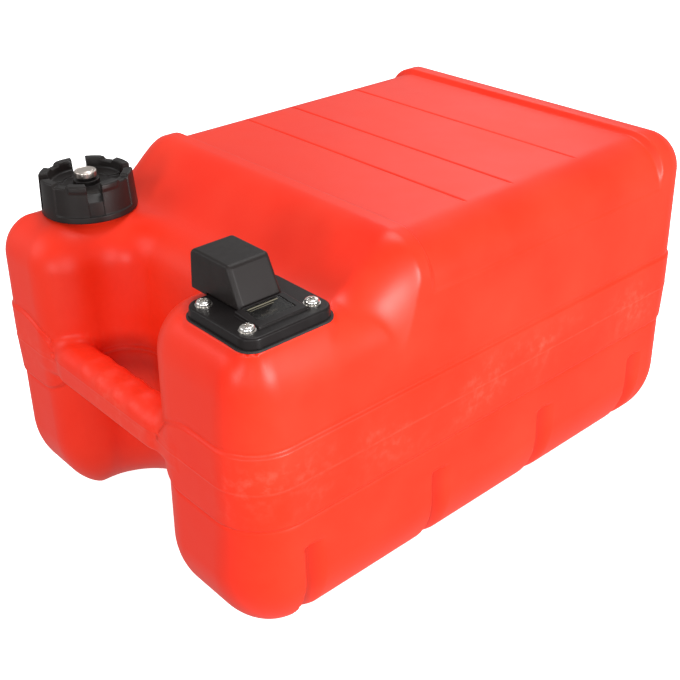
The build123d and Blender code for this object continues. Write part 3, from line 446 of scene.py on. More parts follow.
def skin_of(solid: Field, axes: Sequence[Array], reach: float) -> tuple[Array, Array]:
    """Mesh the zero surface of a distance field on a graded grid.

    Args:
        solid: Field of x, y and z, arrays of one shape in millimetres, negative inside.
        axes: Grid lines along x, y and z.
        reach: Longest move of a point when it is drawn onto the surface.

    Returns:
        Points in millimetres and quads of point indices.
    """
    gx, gy, gz = (a.astype(float) for a in axes)
    values = np.empty((len(gx), len(gy), len(gz)), np.float32)
    for i, x in enumerate(gx):
        values[i] = solid(*np.broadcast_arrays(x, gy[:, None], gz))
    inside = values < 0
    shape = tuple(n - 1 for n in inside.shape)
    total = np.zeros((*shape, 3))
    count = np.zeros(shape)
    steps = [(a, b, c) for a in (0, 1) for b in (0, 1) for c in (0, 1)]
    coords = (gx, gy, gz)
    for axis in range(3):
        for corner in steps:
            if corner[axis]:
                continue
            other = tuple(c + (k == axis) for k, c in enumerate(corner))
            lo = tuple(slice(c, c + n) for c, n in zip(corner, shape))
            hi = tuple(slice(c, c + n) for c, n in zip(other, shape))
            cross = np.nonzero(inside[lo] != inside[hi])
            va = values[lo][cross].astype(float)
            share = va / (va - values[hi][cross])
            for k in range(3):
                start = coords[k][cross[k] + corner[k]]
                if k == axis:
                    start = start + share * (coords[k][cross[k] + 1] - start)
                total[(*cross, np.full(len(share), k))] += start
            count[cross] += 1
    cells = np.nonzero(count)
    index = np.full(shape, -1)
    index[cells] = np.arange(len(cells[0]))
    points = total[cells] / count[cells][:, None]
    quads = []
    for axis in range(3):
        u, v = (axis + 1) % 3, (axis + 2) % 3
        lo = [slice(None)] * 3
        hi = [slice(None)] * 3
        lo[axis], hi[axis] = slice(0, -1), slice(1, None)
        changed = inside[tuple(lo)] != inside[tuple(hi)]
        where = np.array(np.nonzero(changed))
        keep = (where[u] > 0) & (where[v] > 0)
        keep &= (where[u] < shape[u]) & (where[v] < shape[v])
        where = where[:, keep]
        forward = inside[tuple(lo)][tuple(where)]
        ring = []
        for du, dv in ((-1, -1), (0, -1), (0, 0), (-1, 0)):
            cell = where.copy()
            cell[u] += du
            cell[v] += dv
            ring.append(index[tuple(cell)])
        quad = np.stack(ring, 1)
        quad[~forward] = quad[~forward][:, ::-1]
        quads.append(quad)
    for _ in range(4):
        value = solid(*points.T)
        slope = gradient(solid, points, reach / 5)
        size = np.maximum((slope ** 2).sum(1), 0.05)
        move = -(value / size)[:, None] * slope
        points = points + np.clip(move, -reach, reach)
    return points, np.concatenate(quads)


def gradient(solid: Field, points: Array, step: float) -> Array:
    """Slope of a field at points, by central differences.

    Args:
        solid: Field of x, y and z in millimetres.
        points: One point in each row.
        step: How far to each side the field is read.

    Returns:
        One slope in each row.
    """
    parts = []
    for k in range(3):
        shift = np.zeros(3)
        shift[k] = step
        parts.append((solid(*(points + shift).T) - solid(*(points - shift).T)) / (2 * step))
    return np.stack(parts, 1)


def moulded(
    name: str,
    solid: Field,
    axes: Sequence[Array],
    reach: float,
    body: str,
    material: bpy.types.Material,
    node: str,
) -> None:
    """Make a smooth piece from a distance field, with the field's own normals.

    Args:
        name: Piece name.
        solid: Field of x, y and z in millimetres, negative inside.
        axes: Grid lines along x, y and z.
        reach: About half the grid's spacing.
        body: CAD body it moves with.
        material: Its finish.
        node: CAD node that it stands for.
    """
    points, quads = skin_of(solid, axes, reach)
    normals = gradient(solid, points, reach / 3)
    normals /= np.maximum(np.linalg.norm(normals, axis=1)[:, None], 1e-9)
    mesh = bpy.data.meshes.new(name)
    mesh.from_pydata((points * MM).tolist(), [], quads.tolist())
    mesh.validate()
    mesh.polygons.foreach_set("use_smooth", [True] * len(mesh.polygons))
    mesh.update()
    mesh.normals_split_custom_set_from_vertices(normals.tolist())
    mesh.materials.append(material)
    piece = bpy.data.objects.new(name, mesh)
    bpy.context.scene.collection.objects.link(piece)
    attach(piece, body)
    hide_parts(node)
    log.info("%s: %d points", name, len(points))


def even(middle: Pair, half: Pair, heights: Pair, step: float) -> list[Array]:
    """Even grid lines over a box given by its middle, half its width and depth, and heights."""
    ends = (*((m - h, m + h) for m, h in zip(middle, half)), heights)
    return [np.arange(a - 1.5 * step, b + 2.5 * step, step) for a, b in ends]


def tilted(x: Array, z: Array, start: Pair, end: Pair) -> Array:
    """Distance above the line from start to end in a side view, positive on its left."""
    dx, dz = end[0] - start[0], end[1] - start[1]
    return ((z - start[1]) * dx - (x - start[0]) * dz) / math.hypot(dx, dz)


# ---- Tank ----
@dataclass
class TankMoulding:
    """The blow-moulded tank: its skin as one smooth surface.

    Starts, ends, fronts and depths are measured from the handle face.
    """

    half_width: float = 155.0
    length: float = 452.0
    height: float = 271.0
    shelf: float = 240.0
    left_corner: float = 24.7
    right_corner: float = 47.2
    corner_gain: float = 11.0
    corner_levels: Pair = (60.0, 150.0)
    lobe_gain: float = 6.0
    lobe_levels: Pair = (175.0, 230.0)
    lobe_round: Pair = (17.0, 33.0)
    lobe_across: Pair = (45.0, 80.0)
    lobe_along: Pair = (70.0, 105.0)
    lobe_upright: float = 0.8  # share of the draft that the right lobe lacks
    rear_corner: float = 30.1
    top_round: float = 30.7
    foot_round: float = 66.0
    band_step: float = 1.8
    band_lean: float = 0.021
    band_line: float = 0.45
    band_line_gap: float = 2.0
    band_line_width: float = 1.2
    flash: float = 0.2
    flash_width: float = 0.7
    flash_reach: Pair = (4.0, 10.0)
    arch_above: Pair = (15.0, 56.0)
    arch_below: Pair = (3.0, 41.0)
    lower_inset: float = -2.4
    draft: float = 0.030
    recess_left: float = -66.0
    recess_right: float = 39.0
    recess_depth: float = 62.0
    recess_corner: float = 28.0
    recess_mouth: float = 33.0
    slope_start: float = 91.1
    slope_end: float = 147.2
    slope_turn: float = 26.0
    slope_margin: float = 4.0
    saddle_start: float = 157.0
    saddle_end: float = 409.0
    saddle_depth: float = 3.7
    saddle_side: float = 232.0
    saddle_lean: float = 0.10
    saddle_edge: float = 2.6
    saddle_step: float = 0.6
    line_fronts: tuple[float, ...] = (219.3, 266.8, 338.6)
    line_reach: Pair = (-126.0, 118.8)
    line_depth: float = 0.85
    line_width: float = 0.95
    bar_depth: float = 29.0
    bar_low: float = 130.0
    bar_high: float = 160.0
    bar_flash: float = 147.0
    bar_sink: float = 5.0
    bar_fillet: float = 7.0
    bar_top_corner: float = 13.5
    bar_low_corners: Pair = (4.0, 11.0)
    grips: tuple[float, ...] = (-40.5, -19.5, 1.5, 22.5)
    grip_depth: float = 1.3
    grip_width: float = 5.6
    groove_count: int = 4
    groove_width: float = 18.0
    groove_depth: float = 4.5
    groove_side: Pair = (88.0, 112.0)
    groove_floor: float = 3.0
    pad_half: Pair = (34.3, 35.3)
    pad_corner: float = 12.0
    pad_depth: float = 16.0
    pad_fillet: float = 3.0
    neck_radius: float = 26.0
    neck_bore: float = 21.5
    neck_rim: float = 255.0
    neck_edge: float = 0.8
    thread_depth: float = 0.7
    finish: MouldedPolyethylene = MouldedPolyethylene()

    def inset(self, z: Array, away: Array) -> Array:
        """How far the walls have come in from the parting line's outline.

        Args:
            z: Height, mm.
            away: Distance from the hand recess, where the proud band closes to the bar.

        Returns:
            Inset in millimetres.
        """
        above = self.band_step + self.draft * np.maximum(z - BAND_HIGH, 0.0)
        below = self.band_step + self.lower_inset * np.maximum(BAND_LOW - z, 0.0) / BAND_LOW
        band = self.band_lean * np.abs(z - PARTING)
        high = PARTING + (BAND_HIGH - PARTING) * arch(self.arch_above, away)
        low = PARTING - (PARTING - BAND_LOW) * arch(self.arch_below, away)
        up = past(0.0, 1.2, z - high)
        down = 1 - past(0.0, 1.4, z - low)
        gap, width = self.band_line_gap, self.band_line_width
        beside = self.band_line * (bell(z - high - gap, width) + bell(z - low + gap, width))
        step = band * (1 - up - down) + above * up + below * down
        return step + beside + self.flash * (1 - bell(z - PARTING, self.flash_width))

    def saddle(self, f: Array) -> Array:
        """1 between the ridges, 0 outside them."""
        rise = past(self.saddle_start, self.saddle_edge, f)
        return rise * (1 - past(self.saddle_end, self.saddle_edge, f))

    def solid(self, x: Array, y: Array, z: Array) -> Array:
        """Distance field of the moulding.

        Args:
            x: Across, mm.
            y: Along, mm.
            z: Height, mm.

        Returns:
            Distance in millimetres, negative inside.
        """
        f = y - FRONT
        between = self.saddle(f)
        centre = (self.recess_left + self.recess_right) / 2
        reach = (self.recess_right - self.recess_left) / 2
        recess = rounded_box(
            np.abs(x - centre) - reach, f - self.recess_depth, self.recess_corner
        )
        lobe = ease(*self.lobe_across, x) * (1 - ease(*self.lobe_along, f))
        lean = self.saddle_lean * np.maximum(z - self.saddle_side, 0.0)
        step = self.saddle_step * past(self.saddle_side, 1.2, z)
        upright = self.lobe_upright * self.draft * lobe * np.maximum(z - BAND_HIGH, 0.0)
        inset = self.inset(z, recess) + between * (lean + step) - upright
        middle = self.length / 2
        right = self.right_corner - self.corner_gain * ease(*self.corner_levels, z)
        right = right - self.lobe_gain * ease(*self.lobe_levels, z)
        front = np.where(x < 0, self.left_corner, right)
        corner = np.where(f < middle, front, self.rear_corner)
        block = rounded_box(np.abs(x) - self.half_width, np.abs(f - middle) - middle, corner)
        walls = round_max(block + inset, inset - recess, self.recess_mouth)
        top, pitch = self.top(x, f, between)
        wide = self.top_round + (self.lobe_round[0] - self.top_round) * lobe
        tall = self.top_round + (self.lobe_round[1] - self.top_round) * lobe
        lid = (z - top) / np.sqrt(1 + pitch ** 2) * wide / tall
        solid = round_max(walls, lid, wide)
        solid = round_max(solid, -z, self.foot_round)
        solid = solid + self.grooves(x, f, z)
        solid = round_min(solid, self.pad(x, y, z), self.pad_fillet)
        return round_min(solid, self.bar(x, f, z), self.bar_fillet)

    def top(self, x: Array, f: Array, between: Array) -> tuple[Array, Array]:
        """Form of the top face: shelf, slope, saddle and its lines.

        The foot of the slope curves back at both sides.

        Args:
            x: Across, mm.
            f: Distance from the handle face.
            between: 1 between the ridges, 0 outside them.

        Returns:
            Its height and how steep it is.
        """
        turn = self.slope_turn
        u = np.clip((np.abs(x) - self.half_width + self.slope_margin + turn) / turn, 0.0, 1.0)
        start = self.slope_start + turn * u ** 2
        span = self.slope_end - start
        t = np.clip((f - start) / span, 0.0, 1.0)
        rise = self.height - self.shelf
        top = self.shelf + rise * t * t * (3 - 2 * t) - self.saddle_depth * between
        across = past(self.line_reach[0], 1.0, x) * (1 - past(self.line_reach[1], 1.0, x))
        for line in self.line_fronts:
            top = top - self.line_depth * across * bell(f - line, self.line_width)
        return top, rise * 6 * t * (1 - t) / span

    def pad(self, x: Array, y: Array, z: Array) -> Array:
        """Distance to the low boss that the outlet plate sits on.

        Args:
            x: Across, mm.
            y: Along, mm.
            z: Height, mm.

        Returns:
            Distance in millimetres, negative inside.
        """
        sides = rounded_box(
            np.abs(x - OUTLET_X) - self.pad_half[0], np.abs(y - OUTLET_Y) - self.pad_half[1],
            self.pad_corner,
        )
        lid = round_max(sides, z - self.shelf, 0.8)
        return both(lid, self.shelf - self.pad_depth - z)

    def bar(self, x: Array, f: Array, z: Array) -> Array:
        """Distance to the handle bar: a flat front strip under a round, gripped back.

        Args:
            x: Across, mm.
            f: Distance from the handle face.
            z: Height, mm.

        Returns:
            Distance in millimetres, negative inside.
        """
        grip = sum(bell(x - g, self.grip_width) for g in self.grips)
        up = ease(self.bar_flash - 2.0, self.bar_high, z)
        half_f = self.bar_depth / 2
        mid_z = (self.bar_low + self.bar_high) / 2
        half_z = (self.bar_high - self.bar_low) / 2
        low_corner = np.where(f < half_f, *self.bar_low_corners)
        corner = np.where(z > mid_z, self.bar_top_corner, low_corner)
        section = rounded_box(np.abs(f - half_f) - half_f, np.abs(z - mid_z) - half_z, corner)
        flash = bell(z - self.bar_flash, 0.8) * (1 - ease(*self.flash_reach, f))
        beyond = np.maximum(self.recess_left - x, x - self.recess_right)
        sunk = self.bar_sink * ease(2.0, self.recess_mouth - 5.0, beyond)
        section = section + self.grip_depth * up * (1 - grip) + self.flash * (1 - flash) + sunk
        left = self.recess_left - self.recess_mouth
        right = self.recess_right + self.recess_mouth
        return both(section, left - x, x - right)

    def grooves(self, x: Array, f: Array, z: Array) -> Array:
        """Depth of the upright grooves of the lower sides.

        Each has a steep front edge and a floor that runs out towards the rear. They follow the
        skin round the foot and run out under it.

        Args:
            x: Across, mm.
            f: Distance from the handle face.
            z: Height, mm.

        Returns:
            Depth in millimetres.
        """
        side = ease(*self.groove_side, np.abs(x)) * (1 - ease(-3.0, 0.0, z - GROOVE_TOP))
        depth = np.zeros(f.shape)
        run = self.groove_width - self.groove_floor
        for number in range(self.groove_count):
            along = f - GROOVE_START - number * GROOVE_PITCH
            floor = 1 - np.clip((along - self.groove_floor) / run, 0.0, 1.0)
            depth = depth + past(0.0, 0.9, along) * ease(0.0, 1.0, floor)
        return self.groove_depth * side * depth

    def build(self) -> None:
        """Make the skin and the filler neck.

        The skin's grid lines are closer where its form turns sharply: along it at the ends of the
        saddle and at the dividing lines, and in height at the band's edges, the parting lines and
        the saddle's side.
        """
        start, end = FRONT + self.saddle_start, FRONT + self.saddle_end
        across = [(-158.0, 3.0), (-60.0, 2.5), (32.0, 3.0)]
        along = [(-229.0, 2.0), (-164.0, 3.0), (-132.0, 2.0), (start - 9.0, 0.9)]
        along += [(start + 9.0, 4.0)]
        for line in self.line_fronts:
            along += [(line + FRONT - 3.0, 0.6), (line + FRONT + 3.0, 4.0)]
        along += [(end - 7.0, 0.9), (end + 9.0, 2.5)]
        upward = [
            (-3.0, 3.0), (60.0, 1.5), (BAND_LOW - 3.0, 0.8), (BAND_LOW + 3.0, 1.2),
            (PARTING - 2.5, 0.5), (self.bar_flash + 2.5, 1.2), (BAND_HIGH - 3.0, 0.8),
            (BAND_HIGH + 3.0, 3.0), (self.saddle_side - 2.0, 0.9),
            (self.saddle_side + 2.2, 2.0),
        ]
        axes = graded(across, 158.0), graded(along, 229.0), graded(upward, 274.0)
        skin = self.finish.make("blow_moulded_polyethylene")
        moulded(
            "tank_skin", self.solid, axes, 1.2, "tank", skin, "tank_body"
        )
        half = self.neck_radius + 2.0
        heights = (self.shelf - 3.0, self.neck_rim)
        moulded(
            "filler_neck", self.neck, even((CAP_X, CAP_Y), (half, half), heights, 0.75), 0.35,
            "tank", skin, "tank_body",
        )

    def neck(self, x: Array, y: Array, z: Array) -> Array:
        """Distance field of the filler neck with its outside thread.

        Args:
            x: Across, mm.
            y: Along, mm.
            z: Height, mm.

        Returns:
            Distance in millimetres, negative inside.
        """
        u, v = x - CAP_X, y - CAP_Y
        radius = np.hypot(u, v)
        phase = (z - THREAD_LEVEL) / THREAD_PITCH - np.arctan2(v, u) / (2 * math.pi)
        ridge = 0.5 + 0.5 * np.cos(2 * math.pi * phase)
        ends = ease(self.neck_rim - 1.0, self.neck_rim - 3.5, z) * ease(
            self.shelf + 1.0, self.shelf + 3.0, z
        )
        outside = radius - self.neck_radius - self.thread_depth * ends * ease(0.35, 0.85, ridge)
        tube = round_max(outside, self.neck_bore - radius, self.neck_edge)
        tube = round_max(tube, z - self.neck_rim, self.neck_edge)
        return both(tube, self.shelf - 2.0 - z)


# ---- Cap ----
@dataclass
class ScrewCap:
    """The filler cap with its slotted crown, moulded in black plastic.

    Its low edge is a height of the frame. Its other heights are above that edge.
    """

    low: float = 240.6
    height: float = 27.4
    radius: float = 34.7
    lean: float = 0.051
    slot_angle: float = -20.0
    slot_width: float = 10.6
    slot_drop: float = 4.2
    slot_fall: Pair = (25.5, 33.0)
    floor: float = 18.5
    well: float = 17.5
    ledge: float = 19.5
    ledge_rise: float = 0.08
    mouth: float = 25.6
    mouth_lean: float = 0.16
    dip: float = 2.0
    dip_width: float = 9.5
    band: float = 4.6
    notch: float = 1.5
    panel: float = 0.9
    panel_half: float = 52.0
    pad_half: float = 32.0
    pad_foot: float = 22.6
    hub: float = 9.5
    hub_top: float = 21.9
    ceiling: float = 16.4
    bore: float = 27.0
    thread_depth: float = 0.55
    sleeve: float = 29.6
    sleeve_foot: float = 2.0
    wall: float = 2.6
    groove_end: float = 12.0
    stem_hole: float = 3.08
    finish: Grained = Grained("#1c1817", 0.40, gloss=0.25)

    def solid(self, x: Array, y: Array, z: Array) -> Array:
        """Distance field of the cap.

        Args:
            x: Across, mm.
            y: Along, mm.
            z: Height, mm.

        Returns:
            Distance in millimetres, negative inside.
        """
        u, v, h = x - CAP_X, y - CAP_Y, z - self.low
        radius = np.hypot(u, v)
        turn = np.arctan2(v, u) - math.radians(self.slot_angle)
        from_front = np.degrees(np.abs(np.arctan2(np.sin(turn), np.abs(np.cos(turn)))))
        quarter = math.pi / 2
        across = radius * np.sin((turn + quarter / 2) % quarter - quarter / 2)
        beside = radius * np.sin(turn % quarter - quarter / 2)
        sunk = (1 - past(self.panel_half, 1.4, from_front)) * past(self.band, 0.6, h)
        pad = (1 - past(self.pad_half, 1.2, from_front)) * past(self.pad_foot, 1.6, h)
        wall = radius - self.radius + self.lean * h + self.panel * sunk * (1 - pad)
        top = self.height - self.dip * (1 - past(self.dip_width / 2, 1.0, np.abs(beside)))
        shape = round_max(wall, (h - top) * 0.9, 1.3)
        shape = round_max(shape, -h, 0.7)
        ledge = self.ledge + self.ledge_rise * (radius - self.well)
        mouth = self.mouth + self.mouth_lean * (h - self.ledge)
        crown = round_max(radius - mouth, ledge - h, 1.2)
        well = round_max(radius - self.well, self.floor - h, 0.8)
        shape = round_max(shape, -either(crown, well), 0.7)
        start, end = self.slot_fall
        fall = self.slot_drop * np.clip((radius - start) / (end - start), 0.0, 1.0)
        in_slot = np.abs(across) - self.slot_width / 2
        slot = round_max(in_slot, self.floor - fall - h, 0.7)
        shape = round_max(shape, -slot, 0.6)
        skirt = self.radius - self.lean * h - self.notch
        shape = both(shape, -both(in_slot, self.band - h, skirt - radius, h - self.floor))
        hub = round_max(radius - self.hub, h - self.hub_top, 0.6)
        shape = round_min(shape, both(hub, self.ceiling + 1.0 - h), 0.5)
        return both(shape, -self.underside(radius, np.arctan2(v, u), h))

    def underside(self, radius: Array, angle: Array, h: Array) -> Array:
        """Distance to the hollow of the cap.

        Its thread runs between the crests of the neck's thread.

        Args:
            radius: Distance from the cap's axis.
            angle: Turn about the axis, in radians.
            h: Height above the skirt's edge.

        Returns:
            Distance in millimetres, negative inside.
        """
        phase = (h + self.low - THREAD_LEVEL) / THREAD_PITCH - angle / (2 * math.pi) + 0.5
        ridge = ease(0.4, 0.9, 0.5 + 0.5 * np.cos(2 * math.pi * phase))
        ends = ease(3.0, 5.0, h) * ease(13.0, 11.0, h)
        bore = both(radius - self.bore + self.thread_depth * ridge * ends, h - self.ceiling)
        inner = self.radius - self.wall - self.lean * h
        groove = both(self.sleeve - radius, radius - inner, h - self.groove_end)
        foot = both(radius - self.sleeve, h - self.sleeve_foot)
        return either(bore, groove, foot, radius - self.stem_hole)

    def build(self) -> None:
        """Mould the cap."""
        half = math.ceil(self.radius)
        heights = (self.low, self.low + self.height)
        moulded(
            "cap_moulding", self.solid, even((CAP_X, CAP_Y), (half, half), heights, 0.5), 0.3,
            "cap", self.finish.make("moulded_cap_black"), "cap_shell",
        )


@dataclass
class VentScrew:
    """The vent screw in the middle of the cap: turned steel, zinc plated."""

    head: float = 8.0
    low: float = 264.0
    top: float = 269.0
    stem: float = 3.0
    stem_end: float = 248.0
    dome_drop: float = 0.35
    groove: float = 5.9
    groove_depth: float = 0.35
    finish: Grained = Grained("#cdc3bb", 0.34, 0.9, 0.25, 1.0, 1.5)

    def solid(self, x: Array, y: Array, z: Array) -> Array:
        """Distance field of the screw.

        Args:
            x: Across, mm.
            y: Along, mm.
            z: Height, mm.

        Returns:
            Distance in millimetres, negative inside.
        """
        radius = np.hypot(x - CAP_X, y - CAP_Y)
        dome = self.top - self.dome_drop * (radius / self.head) ** 2
        ring = self.groove_depth * bell(radius - self.groove, 0.45)
        shape = round_max(radius - self.head, z - dome + ring, 1.1)
        shape = round_max(shape, self.low - z, 0.5)
        stem = both(radius - self.stem, self.stem_end - z, z - self.low - 1.0)
        return either(shape, stem)

    def build(self) -> None:
        """Turn the screw."""
        half = self.head + 0.3
        heights = (self.stem_end, self.top)
        moulded(
            "vent_head", self.solid, even((CAP_X, CAP_Y), (half, half), heights, 0.33), 0.18,
            "vent", self.finish.make("plated_steel"), "vent_screw",
        )


# ---- Outlet ----
@dataclass
class OutletPlate:
    """The moulded outlet plate with the gauge's housing and the connector block."""

    half_x: float = 32.5
    half_y: float = 33.5
    corner: float = 10.0
    low: float = 241.5
    top: float = 248.5
    draft: float = 0.07
    edge: float = 1.5
    housing_half: float = 18.4
    window: Pair = (8.0, 13.5)
    window_depth: float = 2.0
    chamber: Pair = (6.5, 12.0)
    chamber_floor: float = 245.0
    block_x: Pair = (84.0, 101.0)
    block_y: Pair = (-188.0, -166.0)
    block_top: float = 261.0
    finish: Grained = Grained("#171313", 0.34, gloss=0.2)

    def solid(self, x: Array, y: Array, z: Array) -> Array:
        """Distance field of the plate.

        Args:
            x: Across, mm.
            y: Along, mm.
            z: Height, mm.

        Returns:
            Distance in millimetres, negative inside.
        """
        draft = self.draft * np.maximum(z - self.low, 0.0)
        plate = rounded_box(
            np.abs(x - OUTLET_X) - self.half_x + draft,
            np.abs(y - OUTLET_Y) - self.half_y + draft, self.corner,
        )
        plate = round_max(plate, z - self.top, self.edge)
        slope = tilted(x, z, *HOUSING_TOP)
        left, right = (end[0] for end in HOUSING_TOP)
        ahead = np.abs(y - GAUGE_Y) - self.housing_half
        housing = round_max(both(left - x, x - right), ahead, 1.0)
        housing = round_max(housing, slope, 0.9)
        half = (self.block_x[1] - self.block_x[0]) / 2
        wide = (self.block_y[1] - self.block_y[0]) / 2
        block = rounded_box(
            np.abs(x - self.block_x[0] - half) - half,
            np.abs(y - self.block_y[0] - wide) - wide, 2.0,
        )
        block = round_max(block, z - self.block_top, 0.8)
        shape = round_min(plate, either(housing, block), 0.4)
        gx, gy = np.abs(x - GAUGE_X), np.abs(y - GAUGE_Y)
        seat = both(gx - self.window[0], gy - self.window[1], -slope - self.window_depth)
        room = both(gx - self.chamber[0], gy - self.chamber[1], self.chamber_floor - z)
        return both(shape, -either(seat, room), self.low - z)

    def build(self) -> None:
        """Mould the plate."""
        half, heights = (self.half_x, self.half_y), (self.low, self.block_top)
        moulded(
            "outlet_moulding", self.solid, even((OUTLET_X, OUTLET_Y), half, heights, 0.5), 0.3,
            "tank", self.finish.make("moulded_outlet_black"), "outlet_base",
        )


@dataclass
class GaugeWindow:
    """The clear window of the gauge, a little below the housing, with two beads along its left
    edge whose pale colour is a painted glint.

    Each bead has its place across, its two ends along and its radius.
    """

    half: Pair = (7.9, 13.4)
    levels: Pair = (248.6, 251.8)
    sunk: float = 0.35
    thickness: float = 1.95
    beads: tuple[tuple[float, float, float, float], ...] = (
        (118.0, -190.4, -168.8, 0.42), (120.0, -190.4, -173.0, 0.22)
    )
    bead_middle: Pair = (118.9, -179.6)
    bead_half: Pair = (1.5, 11.4)
    bead_levels: Pair = (250.4, 251.7)
    finish: ClearMoulding = ClearMoulding()
    glint_paint: Grained = Grained("#6f6957", 0.35, gloss=0.4)  # pale colour: a painted glint along the window's edge

    def solid(self, x: Array, y: Array, z: Array) -> Array:
        """Distance field of the window.

        Args:
            x: Across, mm.
            y: Along, mm.
            z: Height, mm.

        Returns:
            Distance in millimetres, negative inside.
        """
        level = tilted(x, z, *HOUSING_TOP)
        sides = both(np.abs(x - GAUGE_X) - self.half[0], np.abs(y - GAUGE_Y) - self.half[1])
        return both(round_max(sides, level + self.sunk, 0.2), -level - self.thickness)

    def beading(self, x: Array, y: Array, z: Array) -> Array:
        """Distance field of the beads beside the housing's left edge.

        Args:
            x: Across, mm.
            y: Along, mm.
            z: Height, mm.

        Returns:
            Distance in millimetres, negative inside.
        """
        level = tilted(x, z, *HOUSING_TOP) + self.sunk
        beads = []
        for place, start, end, radius in self.beads:
            along = both(start - y, y - end, 0.0)
            beads.append(np.sqrt((x - place) ** 2 + level ** 2 + along ** 2) - radius)
        return both(either(*beads), -level)

    def build(self) -> None:
        """Lay the beads and mould the window."""
        axes = even(self.bead_middle, self.bead_half, self.bead_levels, 0.12)
        moulded(
            "window_beads", self.beading, axes, 0.07, "tank",
            # the beads' pale colour is a painted glint of the window's left edge
            self.glint_paint.make("painted_glint_pale"), "gauge_window",
        )
        axes = even((GAUGE_X, GAUGE_Y), self.half, self.levels, 0.2)
        moulded(
            "window_moulding", self.solid, axes, 0.12, "tank",
            self.finish.make("clear_smoked_acrylic"), "gauge_window",
        )


@dataclass
class DustCap:
    """The hood over the outlet connector. Corners are of its side view, x and z."""

    left: tuple[Pair, Pair] = ((62.2, 246.8), (63.6, 273.4))
    right: tuple[Pair, Pair] = ((113.6, 248.8), (102.0, 273.5))
    plate_edge: float = 79.4
    seat: float = 248.8
    half_y: float = 16.3
    middle_y: float = -176.0
    edge: float = 2.2
    crown: float = 4.6
    crown_end: float = 85.0
    bevel: float = 1.5
    wall: float = 2.4
    draft: float = 0.025
    finish: Grained = Grained("#1b1615", 0.46, gloss=0.26)

    def solid(self, x: Array, y: Array, z: Array) -> Array:
        """Distance field of the hood.

        Args:
            x: Across, mm.
            y: Along, mm.
            z: Height, mm.

        Returns:
            Distance in millimetres, negative inside.
        """
        left = tilted(x, z, *self.left)
        right = tilted(x, z, self.right[1], self.right[0])
        top = tilted(x, z, self.left[1], self.right[1])
        side = np.abs(y - self.middle_y) - self.half_y
        side = side + self.draft * np.maximum(z - self.seat, 0)
        crown = np.where(x < self.crown_end, self.crown, self.edge)
        shape = round_max(both(left, right), top, crown)
        shape = round_max(shape, side, self.edge)
        shape = round_max(shape, (right + side) * math.sqrt(0.5) + self.bevel, 0.8)
        hollow = shape + self.wall
        foot = either(x - self.plate_edge, self.seat - z)
        shape = round_max(shape, both(foot, self.left[0][1] - z), 0.4)
        return both(shape, -hollow)

    def build(self) -> None:
        """Mould the hood."""
        left, right = self.left[0][0], self.right[0][0]
        middle, half = ((left + right) / 2, self.middle_y), ((right - left) / 2, self.half_y)
        axes = even(middle, half, (self.left[0][1], self.right[1][1]), 0.5)
        moulded(
            "dust_hood", self.solid, axes, 0.3, "hood",
            self.finish.make("moulded_hood_charcoal"), "dust_cap",
        )


@dataclass
class PlateScrews:
    """Four pan-head screws with cross recesses: cold-headed stainless steel, left bright."""

    places: tuple[Pair, ...] = (
        (91.35, -203.0), (91.35, -155.0), (133.65, -203.0), (133.65, -155.0)
    )
    head: float = 4.6
    low: float = 249.5
    top: float = 252.5
    dome_drop: float = 0.75
    shank: float = 2.5
    shank_end: float = 233.5
    cross: float = 2.5
    cross_width: float = 0.62
    cross_depth: float = 1.7
    turns: tuple[float, ...] = (0.3, 1.1, 0.75, 0.15)
    recess_core: float = 1.1
    recess_taper: float = 0.105
    finish: Grained = Grained("#dcd8d3", 0.22, 0.6, 0.06, 1.0, 1.5)

    def one(self, place: Pair, turn: float) -> Field:
        """The field of one screw.

        Args:
            place: Its middle in x and y, mm.
            turn: Turn of its recess, in radians.

        Returns:
            Field of x, y and z in millimetres, negative inside.
        """
        def solid(x: Array, y: Array, z: Array) -> Array:
            """Distance field of the screw at this place.

            Args:
                x: Across, mm.
                y: Along, mm.
                z: Height, mm.

            Returns:
                Distance in millimetres, negative inside.
            """
            u, v = x - place[0], y - place[1]
            radius = np.hypot(u, v)
            dome = self.top - self.dome_drop * (radius / self.head) ** 2
            shape = both(round_max(radius - self.head, z - dome, 1.2), self.low - z)
            a = np.abs(u * math.cos(turn) + v * math.sin(turn))
            b = np.abs(v * math.cos(turn) - u * math.sin(turn))
            low = self.top - self.cross_depth
            taper = self.recess_taper * (z - low)
            arms = either(
                both(a - self.cross - taper, b - self.cross_width - taper),
                both(b - self.cross - taper, a - self.cross_width - taper),
                radius - self.recess_core - taper,
            )
            shape = round_max(shape, -both(arms, low - z), 0.25)
            shank = both(radius - self.shank, self.shank_end - z, z - self.low - 0.5)
            return either(shape, shank)

        return solid

    def build(self) -> None:
        """Make the four screws."""
        steel = self.finish.make("bright_stainless")
        half = self.head + 0.4
        for number, (place, turn) in enumerate(zip(self.places, self.turns), 1):
            axes = even(place, (half, half), (self.shank_end, self.top), 0.28)
            moulded(
                f"plate_screw_{number}", self.one(place, turn), axes, 0.15, "tank",
                steel, "plate_screws",
            )


